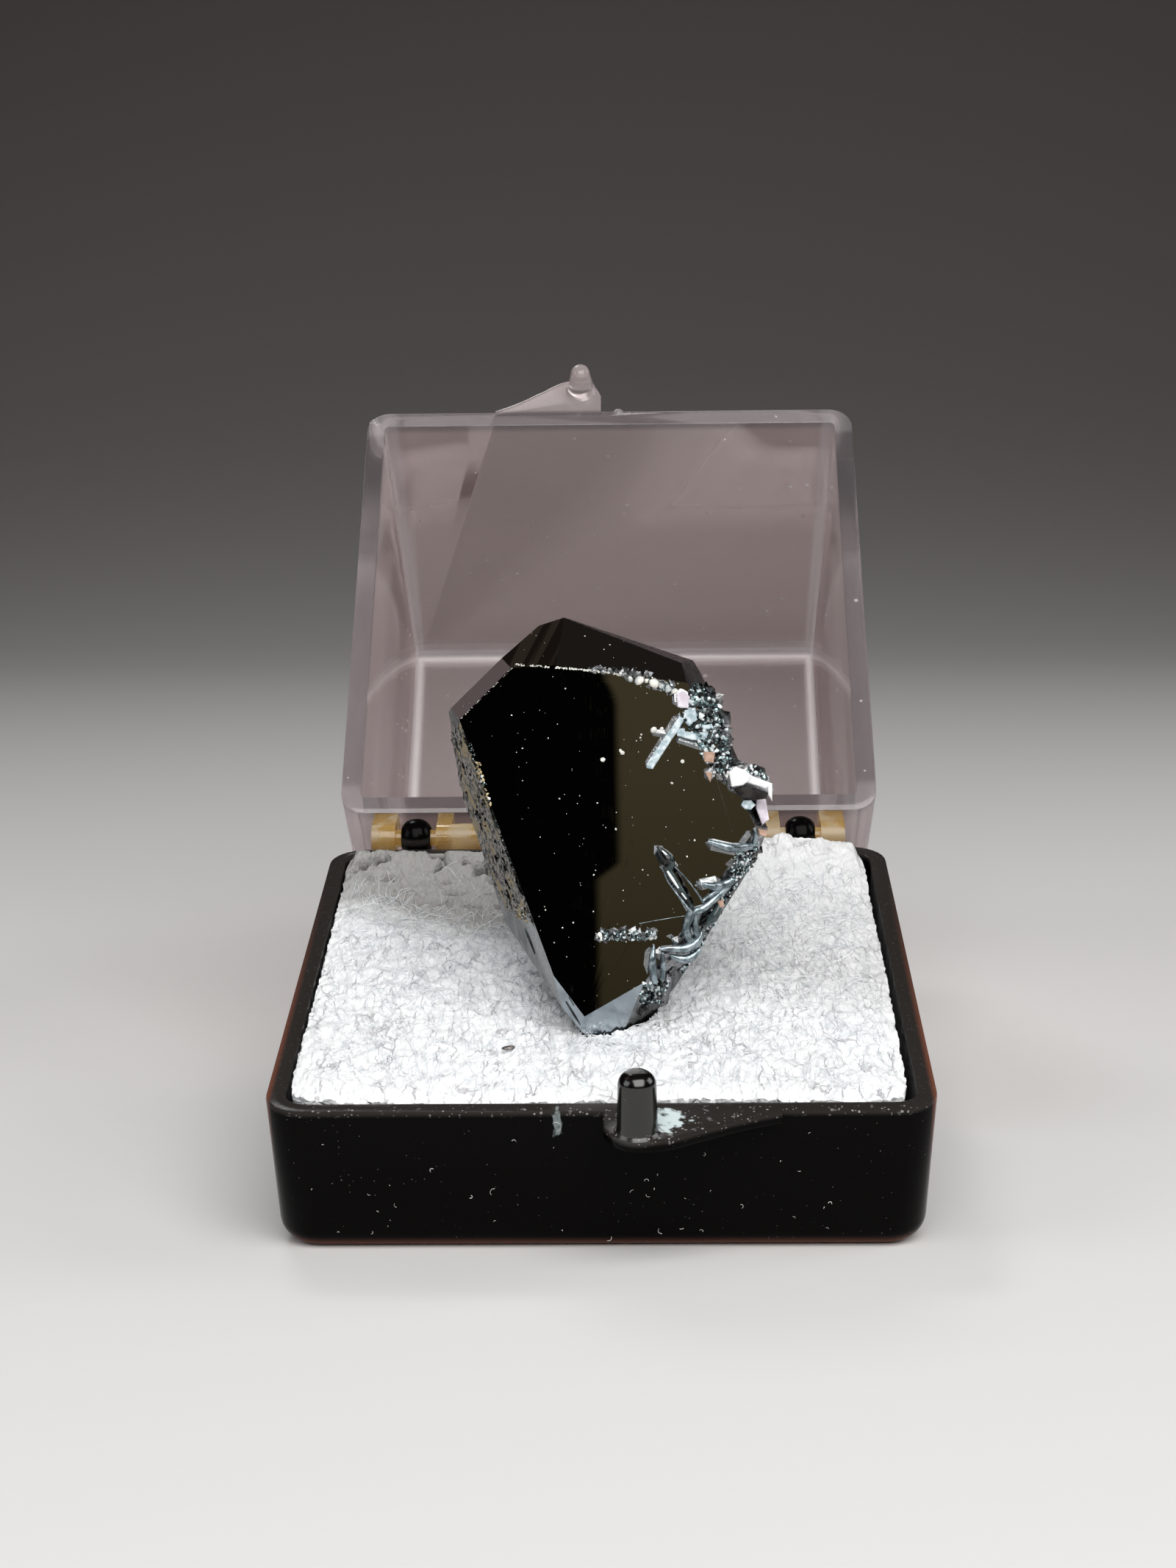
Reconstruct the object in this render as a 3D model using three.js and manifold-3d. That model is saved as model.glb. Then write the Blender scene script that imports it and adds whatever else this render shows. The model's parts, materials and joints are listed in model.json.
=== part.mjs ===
// A lustrous black hematite crystal that stands in white foam in a small hinged specimen box.
// The box is propped open: it tips forward onto its front bottom edge, and its deep clear lid
// is folded back so far that the lid's back corner reaches the table.
//
// Millimetres, +X to the right, +Y to the back, +Z up. The origin is on the table, under the
// middle of the whole open box.

import * as THREE from 'three';
import { mergeVertices } from 'three/addons/utils/BufferGeometryUtils.js';
import Module from 'manifold-3d';

// The box: a square tray with a lid of the same outline.
const BOX_WIDTH = 32;
const TRAY_HEIGHT = 7.85;
const TRAY_FLOOR = 1.3;
const TRAY_WALL = 0.95;
const TRAY_CORNER_RADIUS = 2.0;
const TRAY_EDGE_RADIUS = 1.2;
const LID_DEPTH = 25.8;
const LID_WALL = 1.15;
const LID_CORNER_RADIUS = 1.5;
const LID_EDGE_RADIUS = 1.0;
const MOULD_DRAFT = 0.35;
const RIM_GAP = 0.15;

// The hinge behind the tray's back wall.
const HINGE_BEHIND_WALL = 2.0;
const HINGE_BELOW_RIM = 0.15;
const LID_OPEN_DEG = 146;
const LUG_CENTRE = 11.3;
const LUG_WIDTH = 1.9;
const LUG_RADIUS = 1.15;
const LUG_BORE_RADIUS = 0.68;
const PIN_RADIUS = 0.5;
const BARREL_RADIUS = 0.85;
const BARREL_INNER_END = 7.2;
const BARREL_OUTER_END = 13.9;
const BARREL_SIDE_GAP = 0.25;
const RIB_WIDTH = 0.9;
const RIB_RISE = 2.3;

// The catch: a thin curved ledge and a round peg on each half, side by side when closed.
const LEDGE_THICKNESS = 0.6;
const LEDGE_REACH = 2.9;
const TRAY_CATCH = {
  start: 0.15,
  length: 8.4,
  pegOffset: 1.75,
  pegRadius: 0.95,
  pegTopRadius: 0.9,
  pegRise: 3.1,
};
const LID_CATCH = {
  start: 0.55,
  length: 7.0,
  pegOffset: 1.9,
  pegRadius: 0.85,
  pegTopRadius: 0.62,
  pegRise: 2.1,
};

// The foam pad, which fills the tray up to its rim.
const PAD_GAP = 0.35;
const PAD_RIGHT_GAP = 0.6;
const PAD_EDGE_DROP = 0.45;
const PAD_CELLS = 18;
const POCKET_CLEARANCE = 0.3;

// The crystal stands on a point that is pressed into the foam, and leans back.
const CRYSTAL_ORIGIN = new THREE.Vector3(-0.43, 6.68, 0.61);
const CRYSTAL_LEAN_DEG = 20;
const CRYSTAL_TURN_DEG = 3;
const CRYSTAL_THICKNESS = 7.0;

// The natural faces, in the crystal's own frame: u to the right, v up its mirror face and w out
// of it. turn is where a face looks round the mirror face, in degrees from u towards v. rake is
// how far it leans towards the viewer, and at is a point on the face.
const CRYSTAL_FACES = [
  { name: 'mirror face', turn: 0, rake: 90, at: [0, 0, 0] },
  { name: 'long roof', turn: 81, rake: 38.7, at: [-1.35, 18.25, 0] },
  { name: 'left roof', turn: 92, rake: 37.9, at: [-1.35, 18.25, 0] },
  { name: 'bright chamfer', turn: 133.5, rake: 45, at: [-6.16, 15.71, 0] },
  { name: 'upper left side', turn: 133, rake: -3, at: [-3.29, 19.26, -2] },
  { name: 'crown', turn: 107, rake: 0, at: [-1.5, 20.5, -2.8] },
  { name: 'crest bevel', turn: 69, rake: 7, at: [1.04, 19.85, -2.2] },
  { name: 'upper right side', turn: 24, rake: 12, at: [5.5, 17.3, -2] },
  { name: 'right side', turn: -12, rake: 15, at: [8.9, 10.5, -2] },
  { name: 'lower right side', turn: -37.5, rake: 27, at: [5.3, 6.1, 0] },
  { name: 'lower right edge', turn: -32, rake: -4, at: [6.5, 5.4, -3] },
  { name: 'lower right bevel', turn: -61.7, rake: 50, at: [-0.4, 0.95, 0] },
  { name: 'rough left side', turn: 198.7, rake: 16, at: [-6.16, 15.71, 0] },
  { name: 'left shoulder', turn: 186.5, rake: -2, at: [-6.35, 13.2, -2] },
  { name: 'left back edge', turn: 196, rake: -4, at: [-5.05, 7.8, -3] },
  { name: 'foot bevel', turn: 215.4, rake: 50, at: [-1.87, 3.02, 0] },
  { name: 'foot side', turn: 217.4, rake: -3, at: [-3.6, 4.25, -1.5] },
  { name: 'foot end', turn: 270, rake: -8, at: [0, -2.6, -3] },
  { name: 'back face', turn: 0, rake: -90, at: [0, 0, -CRYSTAL_THICKNESS] },
  { name: 'back roof', turn: 84, rake: -42, at: [0, 18.6, -5.6] },
  { name: 'back right bevel', turn: 10, rake: -38, at: [7.6, 12, -5.2] },
  { name: 'back lower bevel', turn: -40, rake: -40, at: [5.4, 5.4, -5] },
  { name: 'back left bevel', turn: 190, rake: -38, at: [-4.6, 9, -6] },
];

// Single crystals that stand out on the mirror face and its rims, from one pointed end to the
// other: u, v and how far that end stands above the crystal's own front. flat is how thin each is
// towards the viewer, as a share of its width. Nothing is set deeper than GROWTH_DEPTH.
const GROWTH_DEPTH = -1.9;
const BLADES = [
  { name: 'mound', from: [5.85, 17.0, 0.6], to: [7.05, 13.9, 0.6], radius: 0.5, flat: 1.2 },
  { name: 'right end', from: [6.9, 13.0, -0.7], to: [9.1, 11.7, -0.2], radius: 0.8, flat: 1.3 },
  { name: 'streak', from: [4.65, 15.7, 0.0], to: [2.95, 13.1, 0.1], radius: 0.25, flat: 0.8 },
  { name: 'streak spur', from: [3.2, 14.85, 0.0], to: [4.4, 14.7, 0.05], radius: 0.2, flat: 0.9 },
  { name: 'streak branch', from: [4.4, 14.5, 0.0], to: [6.1, 13.9, 0.0], radius: 0.18, flat: 1.0 },
  { name: 'rod', from: [5.75, 9.35, 0.15], to: [7.5, 8.9, 0.1], radius: 0.33, flat: 0.8 },
  { name: 'rod spike', from: [7.3, 8.95, 0.1], to: [8.0, 9.9, 0.1], radius: 0.16, flat: 1.0 },
  { name: 'left arm', from: [3.35, 9.0, 0.15], to: [4.95, 5.95, 0.1], radius: 0.18, flat: 1.4 },
  { name: 'right arm', from: [4.15, 8.4, 0.0], to: [5.1, 6.3, 0.0], radius: 0.09, flat: 1.4 },
  { name: 'arm head', from: [3.25, 9.3, 0.1], to: [4.35, 7.9, 0.1], radius: 0.33, flat: 0.7 },
  { name: 'horn', from: [5.2, 7.25, 0.2], to: [6.5, 7.5, 0.2], radius: 0.3, flat: 0.9 },
  { name: 'horn root', from: [7.4, 7.75, 0.1], to: [4.85, 5.45, 0.1], radius: 0.27, flat: 1.0 },
  { name: 'outer rim', from: [6.8, 6.4, 0.15], to: [5.1, 4.4, 0.15], radius: 0.22, flat: 1.0 },
  { name: 'upright blade', from: [2.9, 4.3, 0.1], to: [2.65, 2.2, 0.1], radius: 0.26, flat: 0.9 },
  { name: 'curled shelf', from: [3.0, 4.0, 0.1], to: [4.9, 3.85, 0.4], radius: 0.38, flat: 1.0 },
  { name: 'shelf lower side', from: [5.1, 4.5, 0.2], to: [3.3, 3.1, 0.2], radius: 0.34, flat: 1.1 },
  { name: 'shelf knob', from: [4.0, 3.2, 0.2], to: [4.8, 3.7, 0.1], radius: 0.34, flat: 1.0 },
  { name: 'low column', from: [3.8, 2.9, 0.1], to: [3.5, 1.1, 0.1], radius: 0.33, flat: 1.0 },
  { name: 'oval', from: [7.55, 11.2, 0.1], to: [8.3, 11.05, 0.1], radius: 0.22, flat: 0.8 },
  { name: 'right knob', from: [8.2, 9.9, 0.2], to: [8.7, 9.7, 0.1], radius: 0.3, flat: 1.0 },
];

// Thin plates: where the middle is, given as above, the way that the plate faces, its radius,
// its thickness, and how tall it is for its width.
const PLATES = [
  { name: 'lilac', at: [4.75, 16.5, 0.0], facing: [0.1, 0.35, 1], radius: 0.52, thick: 0.3, tall: 1.1 },
  { name: 'peach 1', at: [6.0, 13.65, 0.05], facing: [-0.1, 0.25, 1], radius: 0.36, thick: 0.25, tall: 1 },
  { name: 'peach 2', at: [6.05, 12.75, 0.05], facing: [0.2, 0.1, 1], radius: 0.33, thick: 0.25, tall: 1.1 },
  { name: 'white 1', at: [7.45, 12.75, 0.1], facing: [-0.3, 0.5, 0.8], radius: 0.62, thick: 0.35, tall: 1 },
  { name: 'white 2', at: [8.35, 12.5, 0.4], facing: [0.25, 0.6, 0.7], radius: 0.72, thick: 0.9, tall: 0.8 },
  { name: 'white 3', at: [8.85, 11.9, 0.3], facing: [0.5, 0.3, 0.8], radius: 0.42, thick: 0.8, tall: 1.2 },
  { name: 'dark', at: [8.2, 11.75, 0.1], facing: [0.1, -0.4, 0.9], radius: 0.75, thick: 0.5, tall: 1 },
  { name: 'tall lilac', at: [8.7, 10.9, 0.3], facing: [0.12, 0.12, 1], radius: 0.36, thick: 0.6, tall: 2 },
  { name: 'small amber', at: [8.3, 9.75, 0.1], facing: [0.1, -0.1, 1], radius: 0.28, thick: 0.4, tall: 1 },
];

// Crusts of small crystals: a strip between an inner and an outer line, both in u and v, and how
// many crystals it has. overhang is how far in front of GROWTH_DEPTH the ones beside the crystal
// are held, on a mound.
const CRUSTS = [
  {
    name: 'along the roof edge',
    inner: [[0.3, 17.95], [1.9, 17.65], [3.2, 17.1], [4.2, 16.7]],
    outer: [[0.3, 18.1], [1.9, 17.95], [3.3, 17.7], [4.6, 17.1]],
    count: 34,
    size: 0.24,
  },
  {
    name: 'upper right',
    inner: [[4.5, 15.9], [4.6, 15.0], [5.5, 14.2], [6.3, 12.7], [7.3, 11.9]],
    outer: [[5.6, 17.1], [6.2, 16.0], [6.6, 15.0], [7.1, 13.9], [7.7, 12.9]],
    count: 92,
    size: 0.3,
  },
  {
    name: 'over the mound',
    inner: [[5.7, 17.0], [6.2, 15.9], [6.8, 14.0]],
    outer: [[6.2, 17.0], [6.9, 15.9], [7.2, 14.1]],
    overhang: 0.6,
    count: 48,
    size: 0.36,
  },
  {
    name: 'below the white plates',
    inner: [[5.9, 13.9], [6.4, 12.6], [7.4, 11.7]],
    outer: [[6.5, 14.1], [7.0, 13.1], [7.8, 12.2]],
    count: 26,
    size: 0.24,
  },
  {
    name: 'right end',
    inner: [[8.4, 12.7], [8.5, 11.3], [8.3, 9.9]],
    outer: [[9.1, 12.6], [9.2, 11.4], [9.0, 9.8]],
    count: 14,
    size: 0.26,
  },
  {
    name: 'lower right',
    inner: [[8.0, 9.5], [7.0, 8.3], [6.1, 6.9], [4.7, 5.4], [3.6, 4.6]],
    outer: [[8.8, 8.9], [8.2, 7.7], [7.3, 6.8], [6.1, 5.1], [5.2, 4.3]],
    count: 52,
    size: 0.3,
  },
  {
    name: 'foot of the lower right',
    inner: [[3.0, 3.3], [2.7, 2.0], [2.3, 0.9]],
    outer: [[4.9, 2.9], [4.4, 1.9], [3.8, 0.7]],
    count: 30,
    size: 0.3,
  },
  {
    name: 'bar across the mirror face',
    inner: [[0.35, 4.75], [3.2, 4.8]],
    outer: [[0.35, 5.2], [3.2, 5.2]],
    count: 30,
    size: 0.27,
  },
];
const CRUST_SEED = 34;

const wasm = await Module();
wasm.setup();

/** A three.js geometry as a manifold solid. */
function toSolid(geometry) {
  const bare = geometry.clone();
  bare.deleteAttribute('normal');
  bare.deleteAttribute('uv');
  const merged = mergeVertices(bare, 1e-4);
  const mesh = new wasm.Mesh({
    numProp: 3,
    vertProperties: new Float32Array(merged.attributes.position.array),
    triVerts: new Uint32Array(merged.index.array),
  });
  return new wasm.Manifold(mesh);
}

/** A manifold solid as a three.js geometry with flat normals. */
function toGeometry(solid) {
  const mesh = solid.getMesh();
  const geometry = new THREE.BufferGeometry();
  geometry.setAttribute('position', new THREE.BufferAttribute(mesh.vertProperties, 3));
  geometry.setIndex(new THREE.BufferAttribute(mesh.triVerts, 1));
  const flat = geometry.toNonIndexed();
  flat.computeVertexNormals();
  return flat;
}

/** A box geometry between two corners. */
function boxBetween(low, high) {
  const size = high.map((value, axis) => value - low[axis]);
  const middle = high.map((value, axis) => (value + low[axis]) / 2);
  return new THREE.BoxGeometry(...size).translate(...middle);
}

/** A square outline with round corners, centred on the origin. */
function roundedSquare(width, radius) {
  const half = width / 2;
  const inner = half - radius;
  const outline = new THREE.Shape();
  outline.absarc(inner, inner, radius, 0, Math.PI / 2);
  outline.absarc(-inner, inner, radius, Math.PI / 2, Math.PI);
  outline.absarc(-inner, -inner, radius, Math.PI, 1.5 * Math.PI);
  outline.absarc(inner, -inner, radius, 1.5 * Math.PI, 2 * Math.PI);
  return outline;
}

/**
 * A square block that grows from a rounded closed end at z = 0 to its full width at z = height,
 * a little narrower at the closed end so that it would leave its mould. It ends flat, past z =
 * height by an overrun that is shorter than edgeRadius.
 */
function mouldedBlock(width, height, cornerRadius, edgeRadius, overrun = 0) {
  const outline = roundedSquare(width, cornerRadius);
  const geometry = new THREE.ExtrudeGeometry(outline, {
    depth: height,
    curveSegments: 7,
    bevelThickness: edgeRadius,
    bevelSize: edgeRadius,
    bevelOffset: -edgeRadius,
    bevelSegments: 5,
  }).translate(0, 0, edgeRadius);
  const place = geometry.attributes.position;
  for (let i = 0; i < place.count; i += 1) {
    const inset = MOULD_DRAFT * (1 - place.getZ(i) / height);
    const scale = 1 - (2 * inset) / width;
    place.setXY(i, place.getX(i) * scale, place.getY(i) * scale);
  }
  const above = boxBetween([-width, -width, height + overrun], [width, width, 2 * height]);
  return toSolid(geometry).subtract(toSolid(above));
}

/** A moulded block with its hollow taken out, open at z = height. */
function mouldedShell(height, floor, wall, cornerRadius, edgeRadius) {
  const outside = mouldedBlock(BOX_WIDTH, height, cornerRadius, edgeRadius);
  const hollowWidth = BOX_WIDTH - 2 * wall;
  const floorRadius = edgeRadius / 2;
  const hollowCorner = Math.max(cornerRadius - wall, 1.2 * floorRadius);
  const hollow = mouldedBlock(hollowWidth, height - floor, hollowCorner, floorRadius, floorRadius / 2);
  return outside.subtract(hollow.translate([0, 0, floor]));
}

/**
 * One half of the catch, on a wall whose outer face is y = 0 and whose rim is z = 0. The ledge
 * runs towards side (1 right, -1 left) and its peg stands up past the rim.
 */
function catchHalf(side, sizes) {
  const { start, length, pegOffset, pegRadius, pegTopRadius, pegRise } = sizes;
  const outline = new THREE.Shape();
  outline.moveTo(0, 0.6);
  outline.lineTo(0, -0.55 * LEDGE_REACH);
  outline.quadraticCurveTo(0.1, -LEDGE_REACH, 0.19 * length, -LEDGE_REACH);
  outline.quadraticCurveTo(0.42 * length, -LEDGE_REACH, 0.62 * length, -1.6);
  outline.quadraticCurveTo(0.8 * length, -0.8, length, -0.15);
  outline.lineTo(length, 0.6);
  const ledge = new THREE.ExtrudeGeometry(outline, {
    depth: LEDGE_THICKNESS,
    bevelEnabled: false,
    curveSegments: 6,
  }).translate(start, 0, -LEDGE_THICKNESS);

  const crown = 0.75 * pegTopRadius;
  const profile = new THREE.Path();
  profile.moveTo(0, -LEDGE_THICKNESS / 2);
  profile.lineTo(1.08 * pegRadius, -LEDGE_THICKNESS / 2);
  profile.lineTo(pegTopRadius, pegRise - crown);
  profile.bezierCurveTo(pegTopRadius, pegRise - 0.4 * crown, 0.6 * pegTopRadius, pegRise, 0, pegRise);
  const peg = new THREE.LatheGeometry(profile.getPoints(5), 20)
    .rotateX(Math.PI / 2)
    .translate(pegOffset, -LEDGE_REACH + pegRadius + 0.1, 0);
  const half = toSolid(ledge).add(toSolid(peg));
  return side > 0 ? half : half.mirror([1, 0, 0]);
}

/** A rounded bar along X between two x values, centred on the hinge axis. */
function hingeBar(radius, fromX, toX) {
  return toSolid(
    new THREE.CylinderGeometry(radius, radius, toX - fromX, 16)
      .rotateZ(Math.PI / 2)
      .translate((fromX + toX) / 2, 0, 0),
  );
}

/** An outline in the side view, given as y and z, made a slab along X between two x values. */
function sideSlab(outline, fromX, toX) {
  return toSolid(
    new THREE.ExtrudeGeometry(outline, { depth: toX - fromX, bevelEnabled: false, curveSegments: 8 })
      .rotateX(Math.PI / 2)
      .rotateZ(Math.PI / 2)
      .translate(fromX, 0, 0),
  );
}

/** The black tray: walls, floor, catch and two hinge lugs. Its rim is z = 0, its front y = 0. */
function makeTray() {
  let tray = mouldedShell(TRAY_HEIGHT, TRAY_FLOOR, TRAY_WALL, TRAY_CORNER_RADIUS, TRAY_EDGE_RADIUS);
  tray = tray.translate([0, BOX_WIDTH / 2, -TRAY_HEIGHT]);
  tray = tray.add(catchHalf(1, TRAY_CATCH));

  const neckTop = -LUG_RADIUS * 0.5;
  const neckBottom = -LUG_RADIUS * 2.2;
  const wallInside = -HINGE_BEHIND_WALL - TRAY_WALL / 2;
  const lug = new THREE.Shape();
  lug.moveTo(wallInside, neckTop);
  lug.lineTo(-LUG_RADIUS * 0.87, neckTop);
  lug.absarc(0, 0, LUG_RADIUS, THREE.MathUtils.degToRad(210), THREE.MathUtils.degToRad(-60), true);
  lug.lineTo(wallInside, neckBottom);
  for (const side of [-1, 1]) {
    const middle = side * LUG_CENTRE;
    const body = sideSlab(lug, middle - LUG_WIDTH / 2, middle + LUG_WIDTH / 2);
    const bore = hingeBar(LUG_BORE_RADIUS, middle - LUG_WIDTH, middle + LUG_WIDTH);
    tray = tray.add(body.subtract(bore).translate([0, BOX_WIDTH + HINGE_BEHIND_WALL, -HINGE_BELOW_RIM]));
  }
  return tray;
}

/** The clear lid, closed, seen from its hinge axis: it reaches forward along -Y and up. */
function makeLid() {
  const rimHeight = HINGE_BELOW_RIM + RIM_GAP;
  let lid = mouldedShell(LID_DEPTH, LID_WALL, LID_WALL, LID_CORNER_RADIUS, LID_EDGE_RADIUS);
  lid = lid.rotate([180, 0, 0]).translate([0, -HINGE_BEHIND_WALL - BOX_WIDTH / 2, rimHeight + LID_DEPTH]);
  const frontWall = -HINGE_BEHIND_WALL - BOX_WIDTH;
  const lidCatch = catchHalf(-1, LID_CATCH).mirror([0, 0, 1]);
  lid = lid.add(lidCatch.translate([0, frontWall, rimHeight]));

  const rib = new THREE.Shape();
  rib.moveTo(-HINGE_BEHIND_WALL - LID_WALL / 2, rimHeight);
  rib.lineTo(-HINGE_BEHIND_WALL, rimHeight);
  rib.lineTo(-BARREL_RADIUS * 0.5, -BARREL_RADIUS * 0.8);
  rib.absarc(0, 0, BARREL_RADIUS, THREE.MathUtils.degToRad(-120), THREE.MathUtils.degToRad(60), false);
  rib.lineTo(-HINGE_BEHIND_WALL, rimHeight + RIB_RISE);
  rib.lineTo(-HINGE_BEHIND_WALL - LID_WALL / 2, rimHeight + RIB_RISE);
  const lugEdge = LUG_WIDTH / 2 + BARREL_SIDE_GAP;
  for (const side of [-1, 1]) {
    const span = (a, b) => [Math.min(side * a, side * b), Math.max(side * a, side * b)];
    lid = lid.add(hingeBar(PIN_RADIUS, ...span(BARREL_INNER_END, BARREL_OUTER_END)));
    lid = lid.add(hingeBar(BARREL_RADIUS, ...span(BARREL_INNER_END, LUG_CENTRE - lugEdge)));
    lid = lid.add(sideSlab(rib, ...span(LUG_CENTRE - lugEdge - RIB_WIDTH, LUG_CENTRE - lugEdge)));
    lid = lid.add(sideSlab(rib, ...span(LUG_CENTRE + lugEdge, BARREL_OUTER_END)));
  }
  return lid;
}

/** The matrix that takes the crystal's u, v and w into the tray's frame. */
function crystalFrame() {
  const lean = THREE.MathUtils.degToRad(CRYSTAL_LEAN_DEG);
  const turn = THREE.MathUtils.degToRad(CRYSTAL_TURN_DEG);
  const out = new THREE.Vector3(
    Math.sin(turn) * Math.cos(lean),
    -Math.cos(turn) * Math.cos(lean),
    Math.sin(lean),
  );
  const across = new THREE.Vector3(Math.cos(turn), Math.sin(turn), 0);
  const up = new THREE.Vector3().crossVectors(out, across);
  return new THREE.Matrix4().makeBasis(across, up, out).setPosition(CRYSTAL_ORIGIN);
}

/** The direction that a natural face looks in. */
function faceNormal({ turn, rake }) {
  const round = THREE.MathUtils.degToRad(turn);
  const out = THREE.MathUtils.degToRad(rake);
  return new THREE.Vector3(Math.cos(round) * Math.cos(out), Math.sin(round) * Math.cos(out), Math.sin(out));
}

/** The single crystal that its natural faces enclose, each moved out by a clearance. */
function crystalBody(clearance) {
  const reach = 60;
  let body = toSolid(new THREE.BoxGeometry(reach, reach, reach));
  for (const face of CRYSTAL_FACES) {
    const normal = faceNormal(face);
    const beyond = new THREE.BoxGeometry(2 * reach, 2 * reach, 2 * reach);
    beyond.translate(0, 0, reach);
    const towards = new THREE.Quaternion().setFromUnitVectors(new THREE.Vector3(0, 0, 1), normal);
    beyond.applyQuaternion(towards);
    const point = new THREE.Vector3(...face.at).addScaledVector(normal, clearance);
    beyond.translate(point.x, point.y, point.z);
    body = body.subtract(toSolid(beyond));
  }
  return body;
}

/** The foam pad, with a softly uneven top and a pocket for the crystal's foot. */
function makePad() {
  const hollow = BOX_WIDTH / 2 - TRAY_WALL - MOULD_DRAFT;
  const front = TRAY_WALL + MOULD_DRAFT + PAD_GAP;
  const low = [-hollow + PAD_GAP, front, -TRAY_HEIGHT + TRAY_FLOOR + PAD_GAP];
  const high = [hollow - PAD_RIGHT_GAP, BOX_WIDTH - front, 0];
  const size = high.map((value, axis) => value - low[axis]);
  const middle = high.map((value, axis) => (value + low[axis]) / 2);
  const block = new THREE.BoxGeometry(...size, PAD_CELLS, PAD_CELLS, 1).translate(...middle);
  const place = block.attributes.position;
  for (let i = 0; i < place.count; i += 1) {
    if (place.getZ(i) > middle[2]) {
      const across = (place.getX(i) - low[0]) / size[0];
      const back = (place.getY(i) - low[1]) / size[1];
      const edge = Math.min(across, 1 - across, back, 1 - back);
      const crown = -PAD_EDGE_DROP * Math.exp(-edge * 22);
      const waves = 0.16 * Math.sin(9 * across + 2) * Math.sin(8 * back + 1);
      const backRise = 0.6 * Math.exp(-(((1 - back) / 0.1) ** 2));
      const backLumps = 0.7 * Math.exp(-(((across - 0.82) / 0.22) ** 2) - ((back - 0.93) / 0.12) ** 2);
      place.setZ(i, 0.15 + crown + waves + backRise + backLumps);
    }
  }
  const pocket = toSolid(toGeometry(crystalBody(POCKET_CLEARANCE)).applyMatrix4(crystalFrame()));
  return toSolid(block).subtract(pocket);
}

/** A run of evenly spread numbers from 0 to 1 that is the same each time for the same seed. */
function randomFrom(seed) {
  let state = seed;
  return () => {
    state = (state * 1664525 + 1013904223) % 4294967296;
    return state / 4294967296;
  };
}

/** A point that stands above the single crystal's own front by a lift, at a place in u and v. */
function onFront(u, v, lift) {
  const depths = CRYSTAL_FACES.map((face) => {
    const normal = faceNormal(face);
    const ahead = new THREE.Vector3(...face.at).sub(new THREE.Vector3(u, v, 0)).dot(normal);
    return normal.z > 0.01 ? ahead / normal.z : Infinity;
  });
  return new THREE.Vector3(u, v, Math.max(Math.min(...depths), GROWTH_DEPTH) + lift);
}

/** A double-pointed crystal with flat sides, along a line between two points. */
function blade({ from, to, radius, flat }) {
  const start = onFront(...from);
  const along = onFront(...to).sub(start);
  const length = along.length();
  const tip = Math.min(0.9 * radius, 0.4 * length);
  const profile = [[0, 0], [radius, tip], [radius, length - tip], [0, length]];
  const geometry = new THREE.LatheGeometry(profile.map(([r, h]) => new THREE.Vector2(r, h)), 6);
  const direction = along.normalize();
  const across = new THREE.Vector3().crossVectors(direction, new THREE.Vector3(0, 0, 1)).normalize();
  const out = new THREE.Vector3().crossVectors(across, direction).multiplyScalar(flat);
  geometry.applyMatrix4(new THREE.Matrix4().makeBasis(across, direction, out).setPosition(start));
  return toSolid(geometry);
}

/** A thin six-sided plate with a bevelled rim. */
function plate({ at, facing, radius, thick, tall }) {
  const rim = 0.8 * radius;
  const profile = [[0, -thick], [rim, -thick], [radius, 0], [rim, thick / 2], [0, thick / 2]];
  const geometry = new THREE.LatheGeometry(profile.map(([r, h]) => new THREE.Vector2(r, h)), 6);
  geometry.rotateX(Math.PI / 2).scale(1, tall, 1);
  const normal = new THREE.Vector3(...facing).normalize();
  const towards = new THREE.Quaternion().setFromUnitVectors(new THREE.Vector3(0, 0, 1), normal);
  geometry.applyQuaternion(towards).translate(...onFront(...at).toArray());
  return toSolid(geometry);
}

/** A strip of small double pyramids that lean every way, half sunk into the crystal. */
function crust({ inner, outer, overhang = 0, count, size }, random) {
  const line = (points) => new THREE.CatmullRomCurve3(points.map(([u, v]) => new THREE.Vector3(u, v, 0)));
  const innerLine = line(inner);
  const outerLine = line(outer);
  let grown = null;
  for (let i = 0; i < count; i += 1) {
    const along = (i + random()) / count;
    let across = random();
    let place = null;
    do {
      const flat = innerLine.getPoint(along).lerp(outerLine.getPoint(along), across);
      place = onFront(flat.x, flat.y, overhang * (0.4 + 1.2 * random()));
      across -= 0.05;
    } while (overhang === 0 && place.z <= GROWTH_DEPTH && across > 0);
    const radius = size * (0.55 + 0.75 * random());
    const grain = new THREE.OctahedronGeometry(radius);
    grain.scale(0.75 + 0.25 * random(), 1, 0.5 + 0.4 * random());
    grain.rotateX(6.28 * random()).rotateY(6.28 * random()).rotateZ(6.28 * random());
    grain.translate(...place.toArray());
    grown = grown ? grown.add(toSolid(grain)) : toSolid(grain);
  }
  return grown;
}

/** The crystal with everything that has grown on it, in its own frame. */
function makeCrystal() {
  const random = randomFrom(CRUST_SEED);
  let crystal = crystalBody(0);
  for (const each of BLADES) {
    crystal = crystal.add(blade(each));
  }
  for (const each of PLATES) {
    crystal = crystal.add(plate(each));
  }
  for (const each of CRUSTS) {
    crystal = crystal.add(crust(each, random));
  }
  return crystal;
}

/** One named mesh with its own material. */
function piece(name, geometry, color, roughness, metalness, extra = {}) {
  const material = new THREE.MeshStandardMaterial({ color, roughness, metalness, ...extra });
  const mesh = new THREE.Mesh(geometry, material);
  mesh.name = name;
  return mesh;
}

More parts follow.
